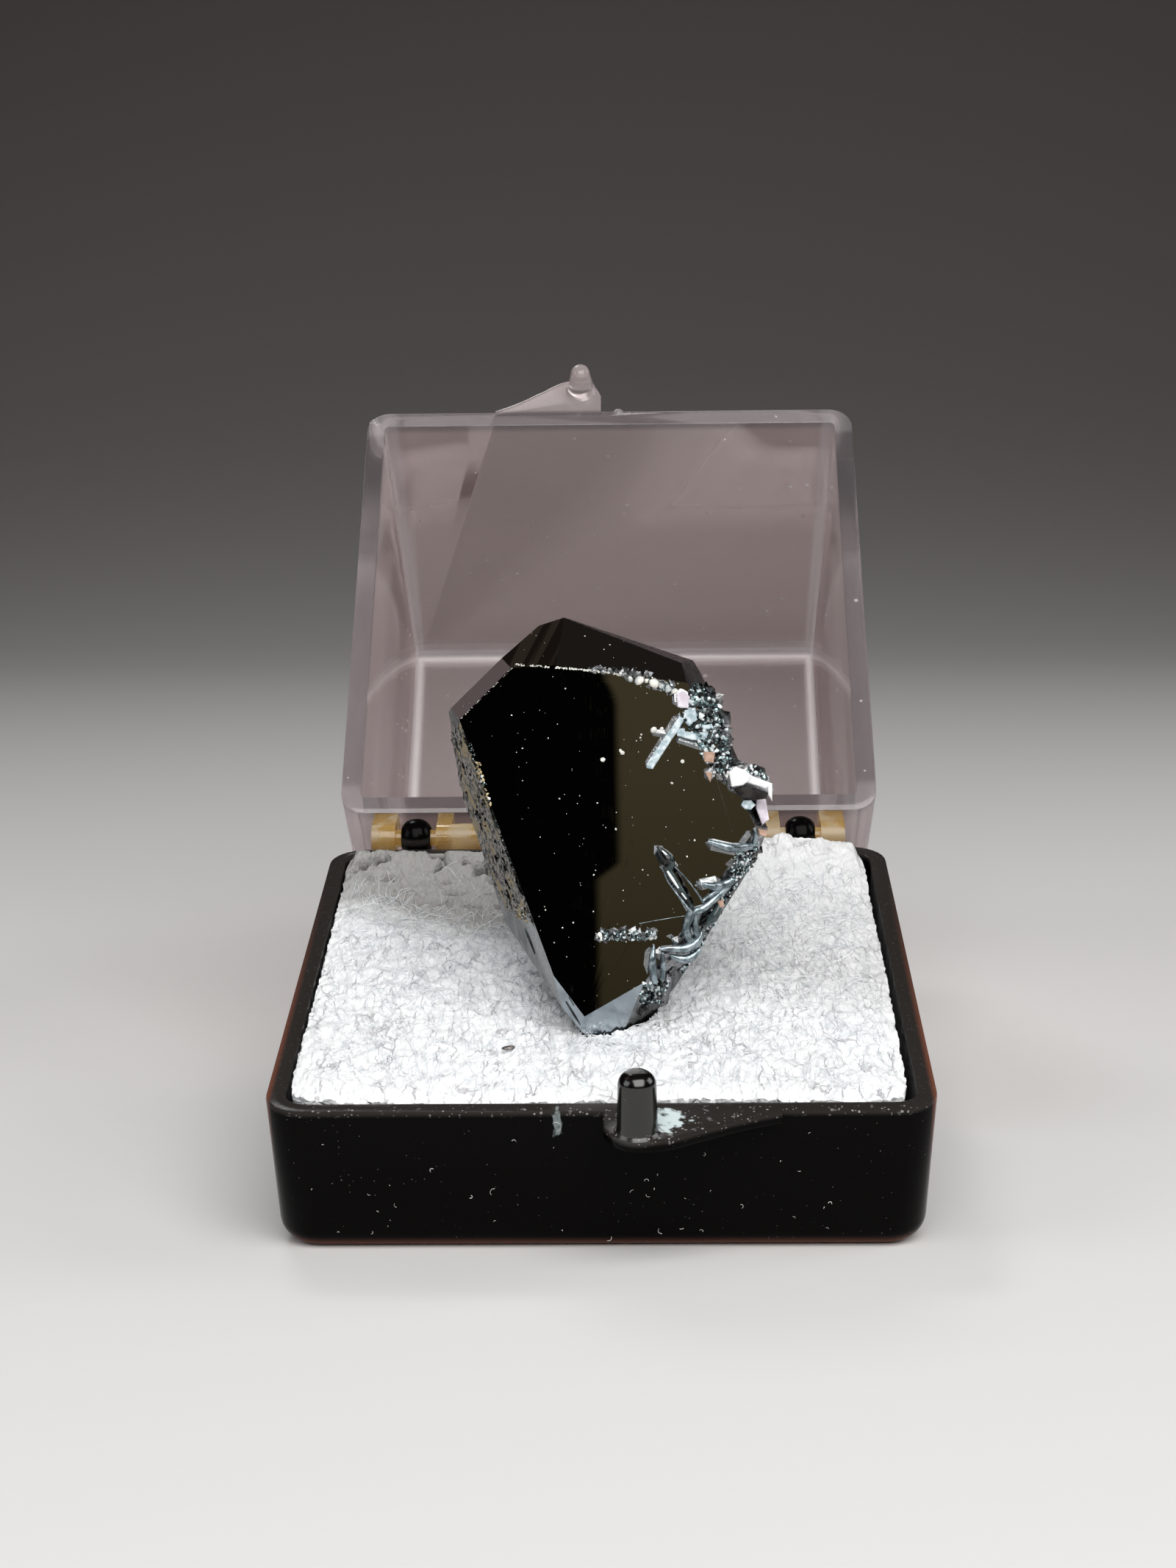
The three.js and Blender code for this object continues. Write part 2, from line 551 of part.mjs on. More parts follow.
/** The forward tip at which the tray's front edge and the lid's back corner share one level. */
function propAngle() {
  const trayEdge = new THREE.Vector2(MOULD_DRAFT + TRAY_EDGE_RADIUS, -TRAY_HEIGHT + TRAY_EDGE_RADIUS);
  const open = THREE.MathUtils.degToRad(LID_OPEN_DEG);
  const forward = HINGE_BEHIND_WALL + MOULD_DRAFT + LID_EDGE_RADIUS;
  const up = HINGE_BELOW_RIM + RIM_GAP + LID_DEPTH - LID_EDGE_RADIUS;
  const lidCorner = new THREE.Vector2(
    BOX_WIDTH + HINGE_BEHIND_WALL - forward * Math.cos(open) + up * Math.sin(open),
    -HINGE_BELOW_RIM + forward * Math.sin(open) + up * Math.cos(open),
  );
  const between = lidCorner.clone().sub(trayEdge);
  const forEdges = Math.asin((LID_EDGE_RADIUS - TRAY_EDGE_RADIUS) / between.length());
  return Math.atan2(-between.y, between.x) + forEdges;
}

const tray = piece('box_tray', toGeometry(makeTray()), 0x0c0a0a, 0.25, 0);
const pad = piece('foam_pad', toGeometry(makePad()), 0xeeeff0, 0.9, 0);
const crystal = piece('hematite_crystal', toGeometry(makeCrystal()), 0x2b2b2e, 0.12, 1);
crystal.applyMatrix4(crystalFrame());
const lid = piece('box_lid', toGeometry(makeLid()), 0xe8e2e4, 0.08, 0, { transparent: true, opacity: 0.35 });
lid.position.set(0, BOX_WIDTH + HINGE_BEHIND_WALL, -HINGE_BELOW_RIM);
lid.rotation.x = -THREE.MathUtils.degToRad(LID_OPEN_DEG);

const box = new THREE.Group();
box.add(tray, pad, crystal, lid);
box.rotation.x = propAngle();

const specimen = new THREE.Group();
specimen.add(box);
specimen.updateMatrixWorld(true);
const bounds = new THREE.Box3().setFromObject(specimen, true);
box.position.set(
  -(bounds.min.x + bounds.max.x) / 2,
  -(bounds.min.y + bounds.max.y) / 2,
  -bounds.min.z,
);

export default specimen;
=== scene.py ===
"""A hematite crystal in white foam in a small hinged specimen box, propped open on a pale floor.

The box, its lid, the foam and all that is fine on the crystal are modelled here in millimetres, in
the tray's own frame or the crystal's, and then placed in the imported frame.
"""

from __future__ import annotations

import json
import logging
import math
from collections.abc import Callable, Iterable, Sequence
from dataclasses import dataclass, field
from enum import Enum
from functools import reduce
from random import Random

import bmesh
import bpy
from mathutils import Matrix, Vector, noise
from mathutils.bvhtree import BVHTree


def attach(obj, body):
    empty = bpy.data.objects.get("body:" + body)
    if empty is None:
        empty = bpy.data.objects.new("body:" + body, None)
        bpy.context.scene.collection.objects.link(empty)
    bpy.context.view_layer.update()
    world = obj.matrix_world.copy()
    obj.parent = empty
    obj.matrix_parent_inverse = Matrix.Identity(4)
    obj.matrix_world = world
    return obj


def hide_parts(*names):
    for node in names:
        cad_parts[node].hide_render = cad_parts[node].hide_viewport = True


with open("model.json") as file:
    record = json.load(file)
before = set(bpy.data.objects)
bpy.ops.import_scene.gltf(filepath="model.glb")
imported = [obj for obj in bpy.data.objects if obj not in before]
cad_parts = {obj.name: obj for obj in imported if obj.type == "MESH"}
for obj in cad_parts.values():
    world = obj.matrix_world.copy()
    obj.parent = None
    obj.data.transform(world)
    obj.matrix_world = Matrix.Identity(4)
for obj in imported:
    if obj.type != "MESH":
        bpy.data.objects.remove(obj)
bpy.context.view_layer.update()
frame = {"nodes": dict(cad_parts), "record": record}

MM = 0.001
LOG = logging.getLogger("specimen")
Point = tuple[float, float, float]
Pair = tuple[float, float]
Colour = tuple[float, float, float]
Test = Callable[[Vector, Vector], bool]
Socket = bpy.types.NodeSocket
Sockets = bpy.types.bpy_prop_collection


class Part(Enum):
    """What a selection in edit mode is made of."""

    FACES = "FACE"
    EDGES = "EDGE"


class Body(Enum):
    """The bodies that pieces ride on."""

    BOX = "box"
    LID = "lid"


class Slot(Enum):
    """The record's finishes."""

    TRAY = "tray_plastic"
    FOAM = "foam"
    CRYSTAL = "hematite"
    LID = "lid_plastic"


# Where things stand, in the tray's millimetres and in degrees


UNDERSIDE_AT = (0.0, 16.0, -7.85)
HINGE_AT = (0.0, 34.0, -0.15)
LID_FOLDED_BACK = 146.0
CRYSTAL_AT = (-0.43, 6.68, 0.61)
CRYSTAL_TURN = 3.0
CRYSTAL_LEAN = 20.0


def turning(degrees: float, axis: str) -> Matrix:
    """A turn round one axis, as a matrix."""
    return Matrix.Rotation(math.radians(degrees), 4, axis)


@dataclass(frozen=True)
class Placement:
    """The frames that pieces are modelled in, each as a matrix to the world's metres."""

    tray: Matrix
    lid: Matrix
    crystal: Matrix

    @classmethod
    def from_record(cls, record: dict) -> Placement:
        """Finds the tray's tilt and place from the mount under its floor.

        Args:
            record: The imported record.

        Returns:
            The three frames: the tray's, with its rim at z = 0 and its front at y = 0, the closed
            lid's, with the hinge axis as its origin, and the crystal's mirror face.
        """
        mount = record["mounts"][0]
        _, back, down = mount["axis"]
        tilt = Matrix.Rotation(math.atan2(back, -down), 4, "X") @ Matrix.Scale(MM, 4)
        start = Vector(mount["pos_m"]) - tilt @ Vector(UNDERSIDE_AT)
        tray = Matrix.Translation(start) @ tilt
        lid = tray @ Matrix.Translation(HINGE_AT) @ turning(-LID_FOLDED_BACK, "X")
        turn = turning(CRYSTAL_TURN, "Z") @ turning(90.0 - CRYSTAL_LEAN, "X")
        crystal = tray @ Matrix.Translation(CRYSTAL_AT) @ turn
        return cls(tray=tray, lid=lid, crystal=crystal)


class Facet(Enum):
    """The crystal's natural faces, each by its turn and its rake in degrees."""

    MIRROR = (0.0, 90.0)
    LEFT_ROOF = (92.0, 37.9)
    LONG_ROOF = (81.0, 38.7)
    CHAMFER = (133.5, 45.0)
    BEVEL = (-61.7, 50.0)
    FOOT = (215.4, 50.0)
    SIDE = (198.7, 16.0)

    def normal(self) -> Vector:
        """The way that the face looks, in the crystal's frame.

        Returns:
            A vector of length 1.
        """
        turn, rake = (math.radians(angle) for angle in self.value)
        flat = math.cos(rake)
        return Vector((math.cos(turn) * flat, math.sin(turn) * flat, math.sin(rake)))


# Shaping pieces


def deselect_all() -> None:
    """Leaves edit mode and selects nothing."""
    if bpy.context.object and bpy.context.object.mode == "EDIT":
        bpy.ops.object.mode_set(mode="OBJECT")
    bpy.ops.object.select_all(action="DESELECT")


def activate(item: bpy.types.Object) -> None:
    """Makes one object the only selected one and the active one.

    Args:
        item: The object.
    """
    deselect_all()
    item.select_set(True)
    bpy.context.view_layer.objects.active = item


def placed(name: str, data: bpy.types.ID) -> bpy.types.Object:
    """A new object in the scene.

    Args:
        name: Its name.
        data: The curve, camera or lamp that it shows.

    Returns:
        The object.
    """
    item = bpy.data.objects.new(name, data)
    bpy.context.collection.objects.link(item)
    return item


class Workpiece:
    """One mesh object while it is being shaped, in millimetres."""

    def __init__(self, name: str) -> None:
        """Takes the object that was just added.

        Args:
            name: Its new name.
        """
        self.item = bpy.context.object
        self.item.name = name
        self.item.data.name = name
        bpy.ops.object.transform_apply(location=True, rotation=True, scale=True)

    @classmethod
    def block(cls, name: str, low: Point, high: Point) -> Workpiece:
        """A block between two corners.

        Args:
            name: Its name.
            low: The corner with the smallest values.
            high: The corner with the largest.

        Returns:
            The block.
        """
        deselect_all()
        size = Vector(high) - Vector(low)
        middle = (Vector(high) + Vector(low)) / 2
        bpy.ops.mesh.primitive_cube_add(size=1, location=middle, scale=size)
        return cls(name)

    @classmethod
    def rod(cls, name: str, radius: float, ends: Pair, sides: int = 32) -> Workpiece:
        """A round rod along X, round the origin, between two x values.

        Args:
            name: Its name.
            radius: Its radius.
            ends: Its two x values.
            sides: How many sides it has.

        Returns:
            The rod.
        """
        deselect_all()
        bpy.ops.mesh.primitive_cylinder_add(
            vertices=sides,
            radius=radius,
            depth=ends[1] - ends[0],
            location=((ends[0] + ends[1]) / 2, 0, 0),
            rotation=(0, math.pi / 2, 0),
        )
        return cls(name)

    @classmethod
    def ball(cls, name: str, fineness: int, radius: float = 1.0, place: Point = (0, 0, 0)) -> Workpiece:
        """A ball of triangles.

        Args:
            name: Its name.
            fineness: How often its triangles are divided.
            radius: Its radius.
            place: Its middle.

        Returns:
            The ball.
        """
        deselect_all()
        bpy.ops.mesh.primitive_ico_sphere_add(subdivisions=fineness, radius=radius, location=place)
        return cls(name)

    @classmethod
    def grid(cls, name: str, low: Pair, high: Pair, pitch: float) -> Workpiece:
        """A flat square mesh of faces of one pitch, between two corners at z = 0.

        Args:
            name: Its name.
            low: The smallest x and y.
            high: The largest x and y.
            pitch: A face's size.

        Returns:
            The mesh.
        """
        deselect_all()
        wide, deep = high[0] - low[0], high[1] - low[1]
        bpy.ops.mesh.primitive_grid_add(
            x_subdivisions=round(wide / pitch),
            y_subdivisions=round(deep / pitch),
            size=1,
            location=((low[0] + high[0]) / 2, (low[1] + high[1]) / 2, 0),
        )
        bpy.context.object.scale = (wide, deep, 1)
        return cls(name)

    @classmethod
    def slab(cls, name: str, outline: Sequence[Point], thickness: Point) -> Workpiece:
        """A flat outline that is extruded by a vector.

        Args:
            name: The piece's name.
            outline: The corners in order, all in one plane.
            thickness: How far and which way the outline is extruded.

        Returns:
            The closed slab.
        """
        deselect_all()
        bpy.ops.mesh.primitive_circle_add(vertices=len(outline), radius=1, fill_type="NGON")
        made = cls(name)
        for point, place in zip(made.item.data.vertices, outline):
            point.co = place
        made.select(Part.FACES)
        bpy.ops.mesh.extrude_region_move(TRANSFORM_OT_translate={"value": thickness})
        made.tidy()
        return made

    @classmethod
    def turned(cls, name: str, profile: Sequence[Pair], steps: int = 40) -> Workpiece:
        """A profile of radius and height that is spun round Z.

        Args:
            name: Its name.
            profile: Each point's radius and height.
            steps: How many steps the turn has.

        Returns:
            The spun piece.
        """
        deselect_all()
        bpy.ops.mesh.primitive_circle_add(vertices=len(profile), radius=1, fill_type="NOTHING")
        made = cls(name)
        for point, (radius, height) in zip(made.item.data.vertices, profile):
            point.co = (radius, 0, height)
        made.select(Part.EDGES)
        bpy.ops.mesh.spin(steps=steps, angle=2 * math.pi, center=(0, 0, 0), axis=(0, 0, 1))
        made.tidy()
        return made

    def select(self, part: Part, test: Test = lambda place, normal: True) -> int:
        """Selects in edit mode.

        Args:
            part: Whether faces or edges are selected.
            test: Says by middle and normal, or by middle and direction, whether one is taken.

        Returns:
            How many are selected.
        """
        activate(self.item)
        bpy.ops.object.mode_set(mode="EDIT")
        bpy.ops.mesh.select_mode(type=part.value)
        bpy.ops.mesh.select_all(action="DESELECT")
        mesh = bmesh.from_edit_mesh(self.item.data)
        mesh.normal_update()
        taken = 0
        if part is Part.FACES:
            for face in mesh.faces:
                if test(face.calc_center_median(), face.normal):
                    face.select_set(True)
                    taken += 1
        else:
            for edge in mesh.edges:
                ends = edge.verts
                if test((ends[0].co + ends[1].co) / 2, (ends[1].co - ends[0].co).normalized()):
                    edge.select_set(True)
                    taken += 1
        mesh.select_flush_mode()
        bmesh.update_edit_mesh(self.item.data)
        return taken

    def bevel(self, width: float, segments: int, test: Test) -> None:
        """Rounds the edges that a test of middle and direction takes."""
        if self.select(Part.EDGES, test):
            bpy.ops.mesh.bevel(offset=width, segments=segments, affect="EDGES", clamp_overlap=True)

    def tidy(self) -> None:
        """Merges doubles and turns every face outwards."""
        self.select(Part.FACES)
        bpy.ops.mesh.remove_doubles(threshold=1e-4)
        bpy.ops.mesh.normals_make_consistent(inside=False)
        deselect_all()

    def apply(self, modifier: bpy.types.Modifier) -> None:
        """Applies a modifier.

        Args:
            modifier: One of the piece's modifiers.
        """
        activate(self.item)
        bpy.ops.object.modifier_apply(modifier=modifier.name)

    def merge(self, other: Workpiece, operation: str = "UNION") -> None:
        """Joins another piece to this one, or cuts it away, and removes it.

        Args:
            other: The other piece.
            operation: UNION to join it, DIFFERENCE to cut it away.
        """
        joint = self.item.modifiers.new("joint", "BOOLEAN")
        joint.operation = operation
        joint.solver = "EXACT"
        joint.object = other.item
        self.apply(joint)
        bpy.data.objects.remove(other.item)

    def move(self, matrix: Matrix) -> None:
        """Moves the mesh itself by a matrix.

        Args:
            matrix: The matrix. One that mirrors turns the faces round again.
        """
        deselect_all()
        self.item.data.transform(matrix)
        if matrix.determinant() < 0:
            self.item.data.flip_normals()

    def finish(
        self,
        place: Matrix,
        body: Body,
        slot: Slot,
        material: bpy.types.Material,
        smooth: float = 35.0,
    ) -> bpy.types.Object:
        """Places the piece in the world, dresses it and lets it ride on its body.

        Args:
            place: The frame that it was modelled in.
            body: The body that it rides on.
            slot: The record's finish for it, which is not used.
            material: Its material.
            smooth: The angle in degrees below which its edges are shaded smooth, or 0 for flat.

        Returns:
            The finished object.
        """
        self.move(place)
        activate(self.item)
        if smooth:
            bpy.ops.object.shade_smooth_by_angle(angle=math.radians(smooth))
        self.item.data.materials.clear()
        self.item.data.materials.append(material)
        deselect_all()
        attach(self.item, body.value)
        LOG.info("%s: %d faces", self.item.name, len(self.item.data.polygons))
        return self.item


def strewn(name: str, pattern: Workpiece, places: Iterable[Matrix]) -> Workpiece:
    """Copies one small pattern to many places in one mesh, and removes the pattern.

    Args:
        name: The new piece's name.
        pattern: The piece that repeats.
        places: A matrix for each copy.

    Returns:
        The piece that holds all copies.
    """
    mesh = bmesh.new()
    for place in places:
        start = len(mesh.verts)
        mesh.from_mesh(pattern.item.data)
        mesh.verts.ensure_lookup_table()
        for point in mesh.verts[start:]:
            point.co = place @ point.co
    mesh.to_mesh(pattern.item.data)
    mesh.free()
    pattern.item.name = name
    pattern.item.data.name = name
    return pattern


def threads(
    name: str, lines: Iterable[Sequence[Point]], radii: Iterable[Sequence[float]], sides: int = 0
) -> Workpiece:
    """Thin tubes along given lines, as one mesh.

    Args:
        name: The piece's name.
        lines: Each tube's points.
        radii: Each tube's radii, one for each of its points.
        sides: 0 for straight stretches with four sides, or more for smooth, rounder ones.

    Returns:
        The piece that holds all tubes.
    """
    curve = bpy.data.curves.new(name, "CURVE")
    curve.dimensions = "3D"
    curve.bevel_depth = 1.0
    curve.bevel_resolution = sides
    curve.use_fill_caps = True
    curve.resolution_u = 5
    for line, sizes in zip(lines, radii):
        spline = curve.splines.new("NURBS" if sides else "POLY")
        spline.points.add(len(line) - 1)
        for point, place, size in zip(spline.points, line, sizes):
            point.co = (*place, 1.0)
            point.radius = size
        if sides:
            spline.use_endpoint_u = True
            spline.order_u = 3
    activate(placed(name, curve))
    bpy.ops.object.convert(target="MESH")
    return Workpiece(name)


# Materials


class NodeSheet:
    """A node tree, with short ways to add nodes and join them."""

    def __init__(self, tree: bpy.types.NodeTree) -> None:
        """Works on an empty tree."""
        self.tree = tree
        tree.nodes.clear()

    def feed(self, socket: Socket, value: object) -> None:
        """Joins a socket to another, or sets its value.

        Args:
            socket: The socket that is fed.
            value: Another socket, a value, or None for nothing.
        """
        if isinstance(value, Socket):
            self.tree.links.new(value, socket)
        elif value is not None:
            socket.default_value = value

    def add(self, kind: str, inputs: dict | None = None, **settings: object) -> bpy.types.Node:
        """Adds a node.

        Args:
            kind: The node's type without its first word.
            inputs: Values or sockets for its inputs, by name or number.
            **settings: The node's own settings.

        Returns:
            The node.
        """
        node = self.tree.nodes.new("ShaderNode" + kind)
        for name, value in settings.items():
            setattr(node, name, value)
        for name, value in (inputs or {}).items():
            self.feed(node.inputs[name], value)
        return node

    def math(self, operation: str, a: object, b: object = None) -> Socket:
        """A Math node's result."""
        return self.add("Math", {0: a, 1: b}, operation=operation).outputs[0]

    def times(self, *values: object) -> Socket:
        """The product of several values."""
        return reduce(lambda a, b: self.math("MULTIPLY", a, b), values)

    def most(self, *values: object) -> Socket:
        """The largest of several values."""
        return reduce(lambda a, b: self.math("MAXIMUM", a, b), values)

    def plus(self, a: object, b: object) -> Socket:
        """The sum of two values."""
        return self.math("ADD", a, b)

    def minus(self, a: object, b: object) -> Socket:
        """The difference of two values."""
        return self.math("SUBTRACT", a, b)

    def apart(self, a: object, b: object) -> Socket:
        """How far apart two places are."""
        return self.add("VectorMath", {0: a, 1: b}, operation="DISTANCE").outputs["Value"]

    def rise(self, value: object, low: float, high: float) -> Socket:
        """A soft step that is 0 at low and 1 at high, whichever of the two is larger.

        Args:
            value: What the step follows.
            low: Where it is 0.
            high: Where it is 1.

        Returns:
            The step.
        """
        inputs = {"Value": value, "From Min": min(low, high), "From Max": max(low, high)}
        inputs |= {"To Min": 0.0, "To Max": 1.0} if low < high else {"To Min": 1.0, "To Max": 0.0}
        return self.add("MapRange", inputs, interpolation_type="SMOOTHSTEP").outputs["Result"]

    def mix(self, share: object, a: object, b: object) -> Socket:
        """A mix of two colours."""
        a, b = (((*c, 1.0) if isinstance(c, tuple) and len(c) == 3 else c) for c in (a, b))
        return self.add("Mix", {0: share, 6: a, 7: b}, data_type="RGBA").outputs[2]

    def blend(self, share: object, a: object, b: object) -> Socket:
        """A mix of two numbers."""
        return self.add("Mix", {0: share, 2: a, 3: b}, data_type="FLOAT").outputs[0]

    def here(self, kind: str = "Object") -> Socket:
        """The place on the piece, or another output of the coordinate node."""
        return self.add("TexCoord").outputs[kind]

    def place(self, matrix: Matrix, stretch: Point = (1, 1, 1)) -> Socket:
        """The place on the piece in a frame's own millimetres, stretched along its axes.

        Args:
            matrix: The frame.
            stretch: What each of its axes is multiplied by.

        Returns:
            The place.
        """
        back = matrix.inverted()
        size = back.to_scale().x
        turned = self.add("Mapping", {"Vector": self.here(), "Rotation": back.to_euler("XYZ")})
        turned.inputs["Scale"].default_value = (size, size, size)
        turned.inputs["Location"].default_value = back.translation
        if stretch == (1, 1, 1):
            return turned.outputs["Vector"]
        return self.add("Mapping", {"Vector": turned.outputs["Vector"], "Scale": stretch}).outputs[0]

    def axes(self, vector: object) -> Sequence[Socket]:
        """The three parts of a vector."""
        return self.add("SeparateXYZ", {"Vector": vector}).outputs

    def noise(self, vector: object, scale: float, detail: float = 3.0) -> Socket:
        """A noise value from 0 to 1."""
        return self.add("TexNoise", {"Vector": vector, "Scale": scale, "Detail": detail}).outputs["Fac"]

    def cells(self, vector: object, scale: float, feature: str = "F1") -> Socket:
        """The distance to the nearest cell centre, or to the nearest cell wall."""
        node = self.add("TexVoronoi", {"Vector": vector, "Scale": scale}, feature=feature)
        return node.outputs["Distance"]

    def bump(self, height: object, distance: float, strength: float = 1.0) -> Socket:
        """A normal that follows a height, which is given in millimetres."""
        inputs = {"Height": height, "Distance": distance * MM, "Strength": strength}
        return self.add("Bump", inputs).outputs["Normal"]

    def near(self, vector: object, centre: Point, reach: float) -> Socket:
        """A ragged spot: 1 at a centre, 0 beyond its reach."""
        ragged = self.times(self.minus(self.noise(vector, 1.4, 4.0), 0.5), 3.2 * reach)
        return self.rise(self.plus(self.apart(vector, centre), ragged), reach, reach * 0.6)

    def facing(self, matrix: Matrix, facet: Facet, within: float = 1.0) -> Socket:
        """1 where the surface looks as a natural face does, 0 beyond an angle in degrees.

        Args:
            matrix: The crystal's frame.
            facet: The natural face.
            within: The angle.

        Returns:
            The mask.
        """
        direction = (matrix.to_3x3() @ facet.normal()).normalized()
        inputs = {0: self.here("Normal"), 1: direction}
        along = self.add("VectorMath", inputs, operation="DOT_PRODUCT").outputs["Value"]
        edge = math.cos(math.radians(within))
        return self.rise(along, edge, edge + 1e-4)

    def effect(self, effect: Effect, vector: object, scale: float, amount: float) -> Socket:
        """A shared effect's mask.

        Args:
            effect: Which effect.
            vector: The place.
            scale: How fine it is.
            amount: How much of it there is.

        Returns:
            The mask.
        """
        node = self.add("Group")
        node.node_tree = effect.group()
        for name, value in (("Vector", vector), ("Scale", scale), ("Amount", amount)):
            self.feed(node.inputs[name], value)
        return node.outputs["Mask"]


class Effect(Enum):
    """Surface effects that several finishes share, each a node group that is made once."""

    SPECKS = "loose specks"
    SCRATCHES = "fine scratches"
    GRAIN = "broken grain"

    def group(self) -> bpy.types.NodeTree:
        """The effect's node group, with inputs Vector, Scale and Amount and the output Mask.

        Returns:
            The node group.
        """
        made = bpy.data.node_groups.get(self.value)
        if made:
            return made
        made = bpy.data.node_groups.new(self.value, "ShaderNodeTree")
        for name, kind in (("Vector", "Vector"), ("Scale", "Float"), ("Amount", "Float")):
            made.interface.new_socket(name=name, in_out="INPUT", socket_type="NodeSocket" + kind)
        made.interface.new_socket(name="Mask", in_out="OUTPUT", socket_type="NodeSocketFloat")
        sheet = NodeSheet(made)
        start = made.nodes.new("NodeGroupInput").outputs
        end = made.nodes.new("NodeGroupOutput").inputs
        scaled = sheet.add("VectorMath", {0: start["Vector"]}, operation="SCALE")
        sheet.feed(scaled.inputs["Scale"], start["Scale"])
        vector = scaled.outputs["Vector"]
        sheet.feed(end["Mask"], self.mask(sheet, vector, start["Amount"]))
        return made

    def mask(self, sheet: NodeSheet, vector: Socket, amount: Socket) -> Socket:
        """Builds the effect's own nodes.

        Args:
            sheet: The group's node tree.
            vector: The scaled place.
            amount: How much of the effect there is, from 0 to 1.

        Returns:
            The mask.
        """
        if self is Effect.SPECKS:
            cell = sheet.add("TexVoronoi", {"Vector": vector, "Scale": 1.0, "Randomness": 1.0})
            chance = sheet.axes(cell.outputs["Color"])[0]
            size = sheet.times(sheet.math("POWER", chance, 4.0), amount)
            ragged = sheet.noise(vector, 9.0, 2.0)
            far = sheet.times(cell.outputs["Distance"], sheet.plus(ragged, 0.5))
            return sheet.rise(sheet.minus(far, size), 0.0, -0.04)
        if self is Effect.SCRATCHES:
            drawn = sheet.add("Mapping", {"Vector": vector, "Scale": (1.0, 0.035, 1.0)}).outputs[0]
            line = sheet.cells(drawn, 1.0, "DISTANCE_TO_EDGE")
            patchy = sheet.rise(sheet.noise(vector, 0.21, 2.0), 0.5, 0.62)
            thin = sheet.rise(sheet.minus(line, sheet.times(amount, 0.05)), 0.02, 0.0)
            return sheet.times(thin, patchy)
        coarse = sheet.cells(vector, 1.0)
        fine = sheet.noise(vector, 2.7, 5.0)
        broken = sheet.times(sheet.plus(coarse, fine), amount)
        return sheet.math("MINIMUM", broken, 1.0)


@dataclass(frozen=True)
class Finish:
    """A finish that gives a material: a name, and nodes that end in one Principled shader."""

    name: str

    def material(self) -> bpy.types.Material:
        """The finish's material, made new.

        Returns:
            The material.
        """
        made = bpy.data.materials.new(self.name)
        made.use_nodes = True
        sheet = NodeSheet(made.node_tree)
        shader = sheet.add("BsdfPrincipled")
        output = sheet.add("OutputMaterial")
        sheet.feed(output.inputs["Surface"], self.paint(sheet, shader.inputs) or shader.outputs[0])
        return made

    def paint(self, sheet: NodeSheet, shader: Sockets) -> Socket | None:
        """Sets the shader's sockets, and returns another shader to show where there is one.

        Args:
            sheet: The material's nodes.
            shader: The Principled shader's sockets.

        Returns:
            The other shader, or None.
        """
        raise NotImplementedError


@dataclass(frozen=True)
class BlackPlastic(Finish):
    """Glossy black plastic with whitish wear along its rim, dust, and a painted brown reflection along its
    lower and side edges.
    """

    frame: Matrix
    base: Colour = (0.002, 0.0016, 0.0016)
    worn: Colour = (0.50, 0.49, 0.48)
    dull: Colour = (0.13, 0.115, 0.105)
    smeared: Colour = (0.62, 0.72, 0.74)
    # Painted reflection: the brown that is laid along the lower and side edges.
    painted_brown_reflection: Colour = (0.15, 0.042, 0.020)
    wiped_at: Point = (3.05, -0.75, 0.0)
    peg_at: Point = (1.75, -1.85, 1.6)
    print_at: Point = (-4.95, 0.0, -0.55)

    def paint(self, sheet: NodeSheet, shader: Sockets) -> None:
        """Paints the plastic in the tray's frame.

        Args:
            sheet: The material's nodes.
            shader: The Principled shader's sockets.
        """
        place = sheet.place(self.frame)
        x, y, z = sheet.axes(place)
        rim = sheet.rise(z, -0.32, -0.05)
        inside = sheet.rise(z, 0.25, 0.05)
        scuffed = sheet.times(sheet.effect(Effect.SPECKS, place, 6.5, 0.5), 0.5)
        smear = sheet.times(sheet.rise(sheet.noise(place, 1.7, 6.0), 0.60, 0.74), 0.5)
        edge = sheet.times(rim, inside)
        front_edge = sheet.times(edge, sheet.rise(y, 0.75, 0.2))
        worn = sheet.times(front_edge, sheet.most(scuffed, smear))
        streaky = sheet.rise(sheet.noise(place, 1.6, 4.0), 0.26, 0.50)
        wiped = sheet.times(sheet.near(place, self.wiped_at, 1.15), streaky)
        narrow = sheet.add("Mapping", {"Vector": place, "Scale": (2.4, 1.0, 1.0)}).outputs[0]
        faint = sheet.times(sheet.near(narrow, self.print_at, 0.75), 0.3)
        wiped = sheet.most(wiped, sheet.times(faint, streaky))
        dust = sheet.times(sheet.effect(Effect.SPECKS, place, 5.0, 0.14), 0.35)
        # Painted reflection: a brown tint along the bottom front edge and up the side edges, for brownish
        # light reflected there.
        low = sheet.times(sheet.rise(z, -6.9, -7.8), sheet.rise(y, 6.0, 0.0))
        side = sheet.rise(sheet.math("ABSOLUTE", x), 15.6, 15.95)
        borders = sheet.most(sheet.rise(z, -1.5, -0.5), sheet.rise(y, 2.6, 0.9))
        glow = sheet.most(low, sheet.times(side, sheet.rise(y, 30.0, 2.0), borders))
        colour = sheet.mix(glow, self.base, self.painted_brown_reflection)
        top = sheet.times(edge, sheet.blend(scuffed, 0.35, 1.0))
        colour = sheet.mix(sheet.times(top, 0.5), colour, self.dull)
        colour = sheet.mix(dust, colour, self.worn)
        colour = sheet.mix(worn, colour, self.worn)
        sheet.feed(shader["Base Color"], sheet.mix(wiped, colour, self.smeared))
        sheet.feed(shader["Roughness"], sheet.blend(worn, sheet.blend(dust, 0.16, 0.6), 0.5))
        fine = sheet.noise(place, 14.0, 3.0)
        sheet.feed(shader["Normal"], sheet.bump(fine, 0.006, 0.5))
        peg = sheet.rise(sheet.apart(place, self.peg_at), 2.3, 1.7)
        sheet.feed(shader["Specular IOR Level"], sheet.blend(peg, 0.05, 0.8))


